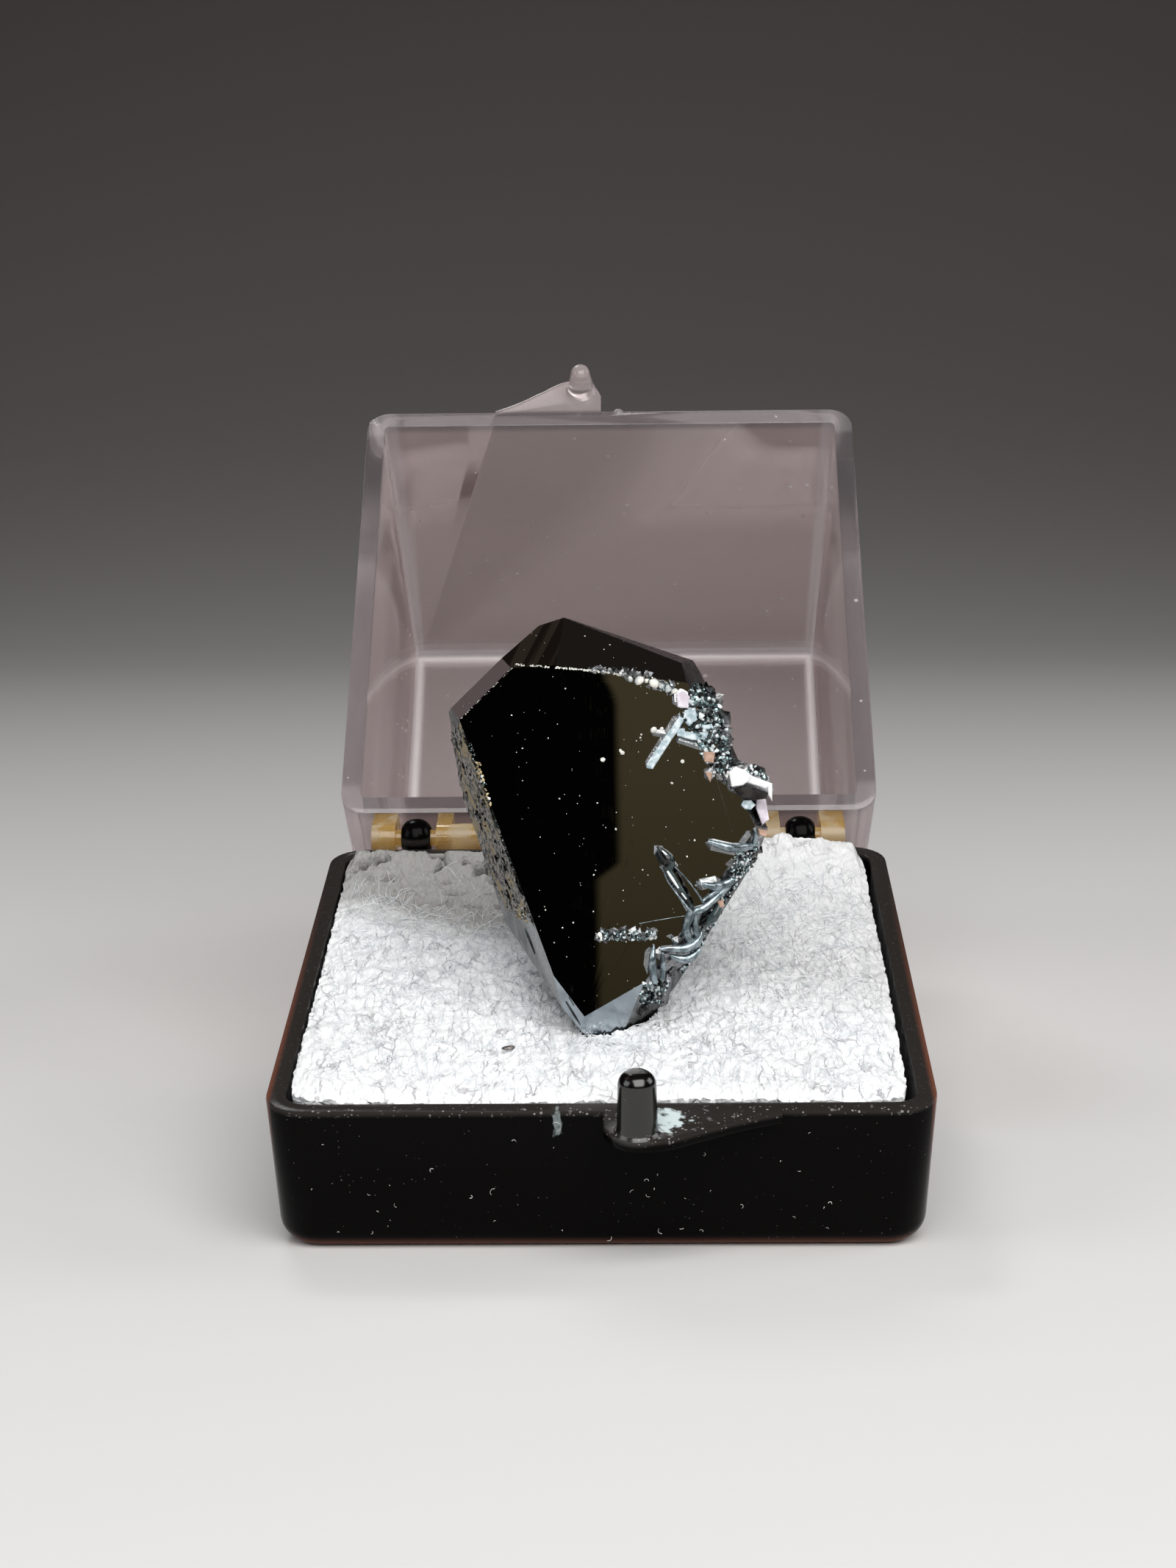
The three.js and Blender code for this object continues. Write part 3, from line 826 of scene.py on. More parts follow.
@dataclass(frozen=True)
class ClearPlastic(Finish):
    """Clear moulded plastic with a hazy veil, milkier along its rim and in its inner corners, partly as
    painted highlight, and with painted shade on its rim and closed end.
    """

    frame: Matrix
    tint: Colour = (0.56, 0.475, 0.47)
    shade: Colour = (0.52, 0.445, 0.44)
    milk_and_highlight: Colour = (0.98, 0.96, 0.98)
    # Painted shade: the dim colour that darkens the rim and the closed end.
    dim: Colour = (0.27, 0.25, 0.265)
    painted_shade_share: float = 1.0
    clear: float = 0.8
    base_roughness: float = 0.03
    specks: float = 0.16
    cloudy: float = 0.0
    side: Pair = (13.75, 14.3)
    near_wall: Pair = (-4.3, -3.7)
    far_wall: Pair = (-31.7, -32.3)
    end: Pair = (24.0, 24.5)
    rim: Pair = (1.1, 0.5)
    side_milk: float = 0.14
    corner_milk_and_highlight: float = 0.3
    catch: Pair = (-33.9, -34.25)
    catch_milk: float = 0.36

    def paint(self, sheet: NodeSheet, shader: Sockets) -> Socket:
        """Paints the plastic, which lets the lamps' light through.

        Args:
            sheet: The material's nodes.
            shader: The Principled shader's sockets.

        Returns:
            The shader to show.
        """
        place = sheet.place(self.frame)
        dust = sheet.effect(Effect.SPECKS, place, 0.9, self.specks)
        scratch = sheet.effect(Effect.SCRATCHES, place, 1.3, 0.2)
        cloud = sheet.times(sheet.rise(sheet.noise(place, 0.55, 2.0), 0.42, 0.62), self.cloudy)
        mark = sheet.most(dust, sheet.times(scratch, 0.06), cloud, self.milky_and_highlit(sheet, place))
        _, y, z = sheet.axes(place)
        # Painted shade: the rim, and less strongly the closed end, are darkened where the lamps would light
        # them brighter.
        rim = sheet.times(sheet.rise(z, *self.rim), sheet.rise(y, -34.25, -33.9))
        dim = sheet.most(rim, sheet.times(sheet.rise(z, *self.end), 0.4))
        colour = sheet.mix(sheet.times(dim, self.painted_shade_share), self.tint, self.dim)
        sheet.feed(shader["Base Color"], sheet.mix(mark, colour, self.milk_and_highlight))
        sheet.feed(shader["Roughness"], sheet.blend(mark, self.base_roughness, 0.4))
        ripple = sheet.noise(place, 0.35, 1.0)
        sheet.feed(shader["Normal"], sheet.bump(ripple, 0.02, 0.4))
        sheet.feed(shader["IOR"], 1.52)
        sheet.feed(shader["Transmission Weight"], self.clear)
        lamp = sheet.add("LightPath").outputs["Is Shadow Ray"]
        through = sheet.add("BsdfTransparent", {"Color": (*self.shade, 1.0)}).outputs[0]
        solid = shader["Base Color"].node.outputs[0]
        return sheet.add("MixShader", {0: lamp, 1: solid, 2: through}).outputs[0]

    def milky_and_highlit(self, sheet: NodeSheet, place: Socket) -> Socket:
        """How hazy the plastic is between its walls, round its closed end and at its rim, partly as painted
        highlight.

        Args:
            sheet: The material's nodes.
            place: The place in the lid's frame.

        Returns:
            The milkiness, partly painted highlight, 0 to 1.
        """
        x, y, z = sheet.axes(place)
        side = sheet.rise(sheet.math("ABSOLUTE", x), *self.side)
        far = sheet.rise(y, *self.far_wall)
        walls = sheet.most(sheet.rise(y, *self.near_wall), far)
        # Painted highlight: the inner upright corners and the closed end's edges are whitened, for light
        # caught by their rounded edges.
        corners = sheet.times(side, walls, self.corner_milk_and_highlight)
        end = sheet.times(sheet.rise(z, *self.end), sheet.most(side, far))
        inside = sheet.times(side, sheet.rise(z, self.rim[1], self.rim[0]), self.side_milk)
        catch = sheet.times(sheet.rise(y, *self.catch), self.catch_milk)
        return sheet.most(corners, end, inside, catch)


@dataclass(frozen=True)
class FoamWhite(Finish):
    """White closed-cell foam, drawn out in front, with open, greyer cells behind that carry painted shade
    towards the left, and painted shade in their hollows.
    """

    frame: Matrix
    bright: Colour = (0.95, 0.97, 0.99)
    # Painted shade: the shaded colour greys the open cells behind, most on the left, and the darkest colour
    # fills their hollows.
    shaded: Colour = (0.30, 0.29, 0.28)
    painted_hollow_shade: Colour = (0.06, 0.059, 0.057)
    drawn: Colour = (0.44, 0.42, 0.46)

    def paint(self, sheet: NodeSheet, shader: Sockets) -> None:
        """Paints the foam in the tray's frame.

        Args:
            sheet: The material's nodes.
            shader: The Principled shader's sockets.
        """
        place = sheet.place(self.frame)
        x, y, _ = sheet.axes(place)
        slope = sheet.plus(y, sheet.times(sheet.plus(x, 14.5), 0.5))
        uneven = sheet.times(sheet.noise(place, 0.5, 3.0), 4.0)
        # The open cells at the back are greyer, partly their own colour and partly painted shade that grows
        # towards the left.
        open_cells_and_shade = sheet.rise(sheet.plus(slope, uneven), 22.5, 29.5)
        left = sheet.rise(x, 2.5, -2.5)
        grey = sheet.times(open_cells_and_shade, sheet.blend(left, 0.3, 0.92))
        colour = sheet.mix(grey, self.bright, self.shaded)
        # Painted shade in the hollows of the open cells.
        hollow = sheet.add("Attribute", attribute_name="hollow").outputs["Fac"]
        deep = sheet.times(sheet.rise(hollow, 0.30, 0.95), sheet.blend(grey, 0.10, 0.9))
        colour = sheet.mix(deep, colour, self.painted_hollow_shade)
        bent = {0: place, 1: self.wander(sheet, place)}
        bent = sheet.add("VectorMath", bent, operation="ADD").outputs[0]
        columns = sheet.add("Mapping", {"Vector": bent, "Scale": (1.0, 0.22, 1.0)}).outputs[0]
        line = sheet.rise(sheet.cells(columns, 1.15, "DISTANCE_TO_EDGE"), 0.055, 0.0)
        patchy = sheet.rise(sheet.noise(place, 0.8, 3.0), 0.42, 0.62)
        line = sheet.times(line, patchy, sheet.blend(grey, 0.8, 0.1))
        sheet.feed(shader["Base Color"], sheet.mix(line, colour, self.drawn))
        sheet.feed(shader["Roughness"], sheet.blend(sheet.noise(place, 3.0), 0.2, 0.6))
        film = sheet.plus(sheet.cells(columns, 4.0), sheet.noise(columns, 7.0, 4.0))
        film = sheet.minus(film, line)
        sheet.feed(shader["Normal"], sheet.bump(film, 0.09, 0.8))

    @staticmethod
    def wander(sheet: NodeSheet, place: Socket) -> Socket:
        """A small shift that bends the drawn-out lines."""
        drift = sheet.add("TexNoise", {"Vector": place, "Scale": 0.9, "Detail": 3.0}).outputs["Color"]
        return sheet.add("VectorMath", {0: drift, 1: (0.9, 0.9, 0.9)}, operation="MULTIPLY").outputs[0]


@dataclass(frozen=True)
class FoamThread(Finish):
    """The thin drawn-out threads of the foam."""

    frame: Matrix
    shaded: Colour = (0.62, 0.66, 0.70)
    bright: Colour = (0.97, 0.98, 1.0)

    def paint(self, sheet: NodeSheet, shader: Sockets) -> None:
        """Paints the threads.

        Args:
            sheet: The material's nodes.
            shader: The Principled shader's sockets.
        """
        place = sheet.place(self.frame)
        shade = sheet.rise(sheet.noise(place, 1.6), 0.3, 0.7)
        sheet.feed(shader["Base Color"], sheet.mix(shade, self.shaded, self.bright))
        sheet.feed(shader["Roughness"], sheet.blend(shade, 0.25, 0.5))


@dataclass(frozen=True)
class Hematite(Finish):
    """Steel-black hematite: mirror-bright in front, brushed below, granular where it is crusted."""

    frame: Matrix
    blackened: tuple[Point, ...] = ()
    steel: Colour = (0.30, 0.30, 0.305)
    crust: Colour = (0.20, 0.235, 0.25)
    black: Colour = (0.02, 0.022, 0.024)
    rear: tuple[Colour, Colour] = ((0.035, 0.034, 0.036), (0.17, 0.17, 0.175))
    foot: tuple[Colour, Colour] = ((0.33, 0.37, 0.40), (0.75, 0.8, 0.85))
    # The roof's two colours, laid in stripes, are painted reflection.
    roof: tuple[Colour, Colour] = ((0.22, 0.19, 0.17), (0.62, 0.57, 0.50))

    def paint(self, sheet: NodeSheet, shader: Sockets) -> None:
        """Paints each natural face by the way that it looks.

        Args:
            sheet: The material's nodes.
            shader: The Principled shader's sockets.
        """
        place = sheet.place(self.frame)
        left_roof = sheet.facing(self.frame, Facet.LEFT_ROOF)
        smooth = sheet.most(
            sheet.facing(self.frame, Facet.MIRROR),
            left_roof,
            sheet.facing(self.frame, Facet.LONG_ROOF),
            sheet.facing(self.frame, Facet.CHAMFER, 1.5),
        )
        brushed = [sheet.facing(self.frame, face, 1.5) for face in (Facet.BEVEL, Facet.FOOT)]
        brushed = sheet.most(*brushed)
        grain = sheet.effect(Effect.GRAIN, place, 3.0, 0.8)
        scratch = sheet.effect(Effect.SCRATCHES, place, 5.0, 0.3)
        u, v, w = sheet.axes(place)
        behind = sheet.rise(w, -0.9, -2.0)
        banded = sheet.noise(sheet.place(self.frame, (2.6, 0.25, 0.8)), 1.3, 4.0)
        dull = sheet.blend(behind, sheet.times(grain, 0.32), sheet.blend(banded, 0.10, 0.42))
        rough = sheet.blend(smooth, dull, 0.012)
        rough = sheet.blend(brushed, rough, 0.2)
        rough = sheet.plus(rough, sheet.times(scratch, 0.05))
        tone = sheet.mix(grain, self.crust, self.steel)
        tone = sheet.mix(behind, tone, sheet.mix(sheet.rise(banded, 0.35, 0.7), *self.rear))
        flat = sheet.add("CombineXYZ", {0: u, 1: v}).outputs[0]
        in_front = sheet.rise(w, -2.6, -1.8)
        for at_u, at_v, reach in self.blackened:
            spot = sheet.rise(sheet.apart(flat, (at_u, at_v, 0)), reach, reach * 0.7)
            tone = sheet.mix(sheet.times(spot, in_front), tone, self.black)
        tone = sheet.mix(smooth, tone, self.steel)
        tone = sheet.mix(brushed, tone, sheet.mix(scratch, *self.foot))
        # Painted reflection: light and dark bands across the left roof stand in for the reflections that
        # shade it.
        stripes = sheet.place(self.frame @ turning(-28.0, "Z"), (1.0, 0.04, 0.04))
        painted_reflection_stripes = sheet.rise(sheet.noise(stripes, 1.6, 1.0), 0.46, 0.54)
        tone = sheet.mix(left_roof, tone, sheet.mix(painted_reflection_stripes, *self.roof))
        sheet.feed(shader["Base Color"], tone)
        sheet.feed(shader["Metallic"], 1.0)
        sheet.feed(shader["Roughness"], rough)
        relief = sheet.times(sheet.minus(1.0, smooth), grain, sheet.minus(1.05, brushed))
        relief = sheet.blend(behind, relief, sheet.times(banded, 0.5))
        sheet.feed(shader["Normal"], sheet.bump(relief, 0.05, 0.7))


@dataclass(frozen=True)
class Mineral(Finish):
    """Small crystals, crusts and grains in one pair of colours."""

    frame: Matrix
    light: Colour
    dark: Colour
    metal: float = 0.0
    gloss: float = 0.3
    grain: float = 4.0
    stretch: Point = (1, 1, 1)
    third: Colour | None = None
    relief: float = 0.03
    soft: float = 0.12

    def paint(self, sheet: NodeSheet, shader: Sockets) -> None:
        """Mottles the colours.

        Args:
            sheet: The material's nodes.
            shader: The Principled shader's sockets.
        """
        place = sheet.place(self.frame, self.stretch)
        spread = sheet.noise(place, self.grain, 4.0)
        colour = sheet.mix(sheet.rise(spread, 0.5 - self.soft, 0.5 + self.soft), self.dark, self.light)
        if self.third:
            patch = sheet.rise(sheet.noise(place, self.grain * 0.22, 2.0), 0.54, 0.62)
            colour = sheet.mix(patch, colour, self.third)
        sheet.feed(shader["Base Color"], colour)
        sheet.feed(shader["Metallic"], self.metal)
        sheet.feed(shader["Roughness"], sheet.blend(spread, self.gloss, self.gloss + 0.2))
        sheet.feed(shader["Normal"], sheet.bump(spread, self.relief, 0.6))


@dataclass(frozen=True)
class PaperSweep(Finish):
    """Pale matt studio paper, painted darker far from the object as painted shade."""

    pale: Colour = (0.74, 0.735, 0.73)
    far: Colour = (0.22, 0.205, 0.20)

    def paint(self, sheet: NodeSheet, shader: Sockets) -> None:
        """Paints the paper.

        Args:
            sheet: The material's nodes.
            shader: The Principled shader's sockets.
        """
        place = sheet.here()
        # Painted shade: the paper darkens with distance from the object.
        shade = sheet.rise(sheet.apart(place, (0, -0.05, 0)), 0.10, 0.60)
        fibre = sheet.times(sheet.noise(place, 900.0, 2.0), 0.03)
        colour = sheet.mix(shade, self.pale, self.far)
        sheet.feed(shader["Base Color"], sheet.mix(fibre, colour, (0.5, 0.5, 0.5)))
        sheet.feed(shader["Roughness"], 0.9)
        sheet.feed(shader["Specular IOR Level"], 0.1)


# The box


@dataclass(frozen=True)
class MouldedShell:
    """A square shell with round corners, narrower by its draft at its closed end.

    The corner is the radius of its upright corners, and the edge that of its closed end's edges.
    """

    width: float
    height: float
    floor: float
    wall: float
    corner: float
    edge: float
    draft: float
    lip: float = 0.14

    def build(self, name: str) -> Workpiece:
        """The shell, centred on the Z axis, closed at z = 0 and open at z = height.

        Args:
            name: Its name.

        Returns:
            The shell.
        """
        half, top = self.width / 2, self.height
        shell = Workpiece.block(name, (-half, -half, 0), (half, half, top))
        shell.select(Part.FACES, lambda place, normal: normal.z < -0.9)
        self.narrow(self.width)
        shell.bevel(self.corner, 8, lambda place, along: abs(along.z) > 0.9)
        shell.bevel(self.edge, 7, lambda place, along: place.z < 1e-4)
        shell.select(Part.FACES, lambda place, normal: normal.z > 0.9)
        bpy.ops.mesh.inset(thickness=self.wall, depth=0)
        bpy.ops.mesh.extrude_region_move(TRANSFORM_OT_translate={"value": (0, 0, self.floor - top)})
        self.narrow(self.width - 2 * self.wall)
        shell.bevel(self.edge * 0.5, 4, lambda place, along: abs(place.z - self.floor) < 1e-4)
        shell.bevel(self.lip, 2, lambda place, along: place.z > top - 1e-4)
        shell.tidy()
        return shell

    def narrow(self, width: float) -> None:
        """Draws the selected face of one width in by the draft on each side."""
        share = 1 - 2 * self.draft / width
        bpy.ops.transform.resize(value=(share, share, 1), center_override=(0, 0, 0))


@dataclass(frozen=True)
class CatchHalf:
    """One half of the catch, on a wall whose outer face is y = 0 and whose rim is z = 0.

    The ledge starts at one place along the wall, and the peg stands on it at another.
    """

    start: float
    length: float
    peg_at: float
    peg_foot: float
    peg_top: float
    peg_height: float
    reach: float = 2.9
    thickness: float = 0.6
    outline: tuple[Pair, ...] = (
        (0, 0.6), (0, -0.5), (0.02, -0.62), (0.06, -0.82), (0.12, -0.95), (0.19, -1.0), (0.28, -0.99),
        (0.36, -0.94), (0.45, -0.82), (0.53, -0.68), (0.62, -0.55), (0.72, -0.39), (0.85, -0.22),
        (1.0, -0.06), (1.0, 0.6),
    )

    def build(self, name: str) -> Workpiece:
        """The ledge with its peg, towards +X.

        Args:
            name: Its name.

        Returns:
            The ledge and peg in one.
        """
        corners = []
        for along, out in self.outline:
            deep = out * self.reach if out < 0 else out
            corners.append((self.start + along * self.length, deep, -self.thickness))
        ledge = Workpiece.slab(name, corners, (0, 0, self.thickness))
        ledge.bevel(0.12, 2, lambda place, along: abs(along.z) < 0.5 and place.y < -0.05)
        ledge.tidy()
        ledge.merge(self.peg(name + "_peg"))
        return ledge

    def peg(self, name: str) -> Workpiece:
        """The peg, wider at its foot and with a round top.

        Args:
            name: Its name.

        Returns:
            The peg.
        """
        foot, top = self.peg_foot, self.peg_top
        profile = [(0, -0.3), (foot * 1.2, -0.3), (foot * 1.18, 0.0), (foot * 1.04, 0.14), (foot, 0.4)]
        crown = 0.75 * top
        start = self.peg_height - crown
        profile.append((top, start))
        for step in range(1, 7):
            turn = math.pi / 2 * step / 6
            profile.append((top * math.cos(turn) ** 0.8, start + crown * math.sin(turn)))
        peg = Workpiece.turned(name, profile)
        peg.move(Matrix.Translation((self.peg_at, -self.reach + foot + 0.1, 0)))
        return peg


@dataclass
class Tray:
    """The black tray with its half of the catch and its two hinge lugs."""

    shell: MouldedShell = MouldedShell(
        width=32.0, height=7.85, floor=1.3, wall=0.95, corner=2.0, edge=1.2, draft=0.35
    )
    catch: CatchHalf = CatchHalf(
        start=0.15, length=8.4, peg_at=1.75, peg_foot=0.95, peg_top=0.9, peg_height=3.1
    )
    lug_centre: float = 11.3
    lug_width: float = 1.9
    lug_radius: float = 1.15
    lug_bore: float = 0.68
    lint_count: int = 42
    curls: tuple[Point, ...] = (
        (-5.1, -4.4, 0.2), (1.55, -4.5, 0.2), (2.85, -6.6, 0.16), (0.3, -7.0, 0.16),
        (3.8, -6.35, 0.16), (-2.1, -0.8, 0.25), (-9.8, -5.1, 0.12), (9.4, -3.2, 0.1),
    )

    def build(self, where: Placement) -> None:
        """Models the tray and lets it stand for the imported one.

        Args:
            where: The frames.
        """
        tray = self.shell.build("tray")
        tray.move(Matrix.Translation((0, self.shell.width / 2, -self.shell.height)))
        tray.merge(self.catch.build("tray_catch"))
        for side in (-1, 1):
            tray.merge(self.lug(side))
        plastic = BlackPlastic("tray plastic", where.tray).material()
        made = tray.finish(where.tray, Body.BOX, Slot.TRAY, plastic)
        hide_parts("box_tray")
        self.lint(where)

    def lint(self, where: Placement) -> None:
        """Models the short curls of lint that cling to the front wall.

        Args:
            where: The frames.
        """
        draw = Random(7)
        curls = list(self.curls)
        while len(curls) < self.lint_count:
            x, z = draw.uniform(-14.5, 14.5), draw.uniform(-7.0, -0.9)
            curls.append((x, z, draw.uniform(0.03, 0.11)))
        lines, radii = [], []
        for x, z, radius in curls:
            wall = -self.shell.draft * z / self.shell.height - 0.012
            start, sweep = draw.uniform(0, math.tau), draw.uniform(1.2, 3.6)
            turns = [start + sweep * step / 5 for step in range(6)]
            lines.append([(x + radius * math.cos(t), wall, z + radius * math.sin(t)) for t in turns])
            radii.append([draw.uniform(0.009, 0.016)] * 6)
        made = threads("tray_lint", lines, radii)
        grey = FoamThread("lint", where.tray, (0.25, 0.25, 0.25), (0.75, 0.75, 0.74))
        made.finish(where.tray, Body.BOX, Slot.TRAY, grey.material())

    def lug(self, side: int) -> Workpiece:
        """One hinge lug, with the bore for its pin.

        Args:
            side: -1 for the left one, 1 for the right one.

        Returns:
            The lug.
        """
        middle = side * self.lug_centre
        ends = (middle - self.lug_width / 2, middle + self.lug_width / 2)
        lug = Workpiece.rod("lug", self.lug_radius, ends, 36)
        lug.bevel(0.86, 8, lambda place, along: abs(along.x) < 0.5)
        lug.tidy()
        neck = Workpiece.block(
            "neck",
            (ends[0] + 0.15, -2.7, -2.2 * self.lug_radius),
            (ends[1] - 0.15, -0.4, -0.5 * self.lug_radius),
        )
        lug.merge(neck)
        bore = Workpiece.rod("bore", self.lug_bore, (ends[0] - 1, ends[1] + 1), 28)
        lug.merge(bore, "DIFFERENCE")
        lug.move(Matrix.Translation(HINGE_AT))
        return lug


@dataclass
class Lid:
    """The clear lid with its half of the catch, its hinge ribs and its barrels, whose yellow-brown tint is
    painted light.
    """

    shell: MouldedShell = MouldedShell(
        width=32.0, height=25.8, floor=1.15, wall=1.15, corner=1.5, edge=1.0, draft=0.35
    )
    catch: CatchHalf = CatchHalf(
        start=0.55, length=7.0, peg_at=1.9, peg_foot=0.85, peg_top=0.62, peg_height=2.1
    )
    rim: float = 0.3
    behind: float = 2.0
    pin: float = 0.5
    barrel: float = 0.85
    inner_end: float = 7.2
    outer_end: float = 13.9
    lug_edge: Pair = (10.1, 12.5)
    rib: float = 0.9
    nubs: tuple[Point, ...] = ((-15.58, -33.3, 0.40), (0.6, -34.0, 0.42), (1.3, -33.95, 0.28))

    def build(self, where: Placement) -> None:
        """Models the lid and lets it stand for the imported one.

        Args:
            where: The frames.
        """
        lid = self.shell.build("lid")
        middle = -self.behind - self.shell.width / 2
        over = Matrix.Translation((0, middle, self.rim + self.shell.height))
        lid.move(over @ turning(180.0, "X"))
        catch = self.catch.build("lid_catch")
        front = Matrix.Translation((0, -self.behind - self.shell.width, self.rim))
        catch.move(front @ Matrix.Diagonal((-1, 1, -1, 1)))
        lid.merge(catch)
        for x, y, size in self.nubs:
            lid.merge(Workpiece.ball("nub", 3, size, (x, y, self.rim + 0.35)))
        plastic = ClearPlastic("lid plastic", where.lid).material()
        made = lid.finish(where.lid, Body.LID, Slot.LID, plastic)
        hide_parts("box_lid")
        # Painted light: the hinge's yellow-brown tint stands in for yellowish light seen through the clear
        # barrels.
        amber_painted_light = ClearPlastic(
            "amber hinge plastic",
            where.lid,
            tint=(0.60, 0.42, 0.15),
            shade=(0.60, 0.42, 0.15),
            milk_and_highlight=(0.74, 0.66, 0.47),
            painted_shade_share=0.0,
            clear=0.66,
            base_roughness=0.12,
            cloudy=0.9,
        ).material()
        for side, word in ((-1, "left"), (1, "right")):
            self.hinge(side, word, where, amber_painted_light)

    def hinge(self, side: int, word: str, where: Placement, amber_painted_light: bpy.types.Material) -> None:
        """One hinge: a pin with a barrel and two ribs that reach the lid's wall.

        Args:
            side: -1 for the left one, 1 for the right one.
            word: Its side in words.
            where: The frames.
            amber_painted_light: Its material.
        """
        low, high = self.lug_edge
        pin = Workpiece.rod(f"hinge_{word}", self.pin, (self.inner_end, self.outer_end))
        barrel = Workpiece.rod("barrel", self.barrel, (self.inner_end + 0.01, low))
        barrel.bevel(0.12, 2, lambda place, along: abs(along.x) < 0.5)
        pin.merge(barrel)
        for start, end in ((low - self.rib, low), (high, self.outer_end)):
            pin.merge(self.rib_piece(start, end))
        pin.bevel(0.05, 1, lambda place, along: abs(along.x) > 0.99 and place.y < -0.5)
        if side < 0:
            pin.move(Matrix.Diagonal((-1, 1, 1, 1)))
        pin.tidy()
        pin.finish(where.lid, Body.LID, Slot.LID, amber_painted_light)

    def rib_piece(self, start: float, end: float) -> Workpiece:
        """A rib with a round end, between two x values.

        Args:
            start: The smaller x value.
            end: The larger one.

        Returns:
            The rib.
        """
        wall = -self.behind + 0.002
        outline = [(wall, self.rim + 0.02), (-self.barrel * 0.5, -self.barrel * 0.8)]
        for step in range(13):
            turn = math.radians(-120 + 15 * step)
            outline.append((self.barrel * math.cos(turn), self.barrel * math.sin(turn)))
        outline.append((wall, self.rim + 2.3))
        corners = [(start, y, z) for y, z in outline]
        return Workpiece.slab("rib", corners, (end - start, 0, 0))


# The foam


@dataclass
class FoamPad:
    """The foam pad: a torn, bubbly top with threads, and a pocket round the crystal's foot."""

    low: Point = (-14.98, 1.02, -6.25)
    high: Point = (14.75, 31.0, 0.15)
    pitch: float = 0.105
    thread_count: int = 3200
    strand_count: int = 320
    strands_end: float = 25.0
    fuzz_count: int = 110
    fuzz_area: tuple[float, float, float, float] = (-2.4, 4.7, 2.8, 6.5)
    fleck: Pair = (-4.58, 5.95)
    fleck_size: Point = (0.36, 0.15, 0.09)
    skirt: float = 4.0
    pressed_to: float = -2.4
    seed: int = 11
    surface: BVHTree | None = field(default=None, repr=False)

    def relief(self, x: float, y: float) -> Pair:
        """How high the foam's top stands at a place, and how deep in an open cell it is.

        Args:
            x: The place's x.
            y: The place's y.

        Returns:
            The height in millimetres and the depth from 0 to 1.
        """
        across = (x - self.low[0]) / (self.high[0] - self.low[0])
        back = (y - self.low[1]) / (self.high[1] - self.low[1])
        edge = min(across, 1 - across, back, 1 - back)
        base = 0.16 - 0.30 * math.exp(-edge * 45)
        base += 0.14 * math.sin(9 * across + 2) * math.sin(8 * back + 1)
        base += 0.62 * math.exp(-(((1 - back) / 0.07) ** 2))
        base += 0.75 * math.exp(-(((across - 0.84) / 0.2) ** 2) - ((back - 0.95) / 0.1) ** 2)
        base -= 0.55 * math.exp(-(((across - 0.25) / 0.2) ** 2) - ((back - 0.8) / 0.16) ** 2)
        foot = math.hypot(x + 0.3, y - 5.6)
        base += 0.38 * math.exp(-((foot / 1.3) ** 2))
        front = self.front(x, y)
        wall, deep = self.cell(x, y, 0.92, 1.0, 0.0)
        small, dip = self.cell(x, y, 2.3, 2.2, 5.0)
        right = self.rightness(x)
        sunken = (1 - right) * (0.05 * wall - 0.70 * deep) + right * (0.38 * deep + 0.1 * dip)
        cells = (1 - front) * sunken + (0.4 + 0.4 * front) * (0.10 * small - 0.10 * dip)
        lumps = 0.15 * noise.fractal(Vector((x * 0.8, y * 0.8, 1.0)), 0.8, 2.0, 3)
        fuzz = 0.05 * noise.noise(Vector((x * 8.0, y * 2.6, 3.0)))
        high = min(base + cells + lumps + fuzz, self.shoulder(x, y))
        return high, (1 - front) * ((1 - right) * deep + right * 0.4 * wall)

    def shoulder(self, x: float, y: float) -> float:
        """How high the foam may stand at a place, so that the closed lid's rim clears it."""
        inset = min(x - self.low[0], self.high[0] - x, y - self.low[1], self.high[1] - y)
        return 0.14 + 2.2 * max(0.0, inset - 0.32)

    @staticmethod
    def front(x: float, y: float) -> float:
        """How drawn-out the foam is at a place: 1 in front, 0 among the open cells behind.

        Args:
            x: The place's x.
            y: The place's y.

        Returns:
            The share.
        """
        slope = y + 0.5 * (x + 14.5) + 3.0 * noise.noise(Vector((x * 0.3, y * 0.3, 7.0)))
        left = max(0.0, min(1.0, (29.5 - slope) / 4.5))
        right = max(0.0, min(1.0, (29.0 - y) / 3.5))
        return left + (right - left) * FoamPad.rightness(x)

    @staticmethod
    def rightness(x: float) -> float:
        """0 in the foam's left half, 1 in its right half, and between the two near the middle."""
        return max(0.0, min(1.0, 0.5 + x / 4.0))

    @staticmethod
    def cell(x: float, y: float, scale: float, draw: float, seed: float) -> Pair:
        """How near a place is to a cell's wall and how deep in a round, open cell, both 0 to 1.

        Args:
            x: The place's x.
            y: The place's y.
            scale: How many cells there are in a millimetre.
            draw: How many times longer than wide a cell is.
            seed: Which pattern of cells it is.

        Returns:
            The two shares.
        """
        wobble = 0.5 * noise.noise(Vector((x * 1.1, y * 0.9, 4.0 + seed)))
        spot = Vector(((x + wobble) * scale, (y + wobble) * scale / draw, seed))
        distances, centres = noise.voronoi(spot)
        between = distances[1] - distances[0]
        size = abs(noise.cell(centres[0] * 7.3))
        reach = 0.2 + 0.42 * size
        bowl = max(0.0, 1 - (distances[0] / reach) ** 2) if size > 0.26 else 0.0
        return math.exp(-((between / 0.2) ** 2)), min(1.0, 1.3 * bowl)

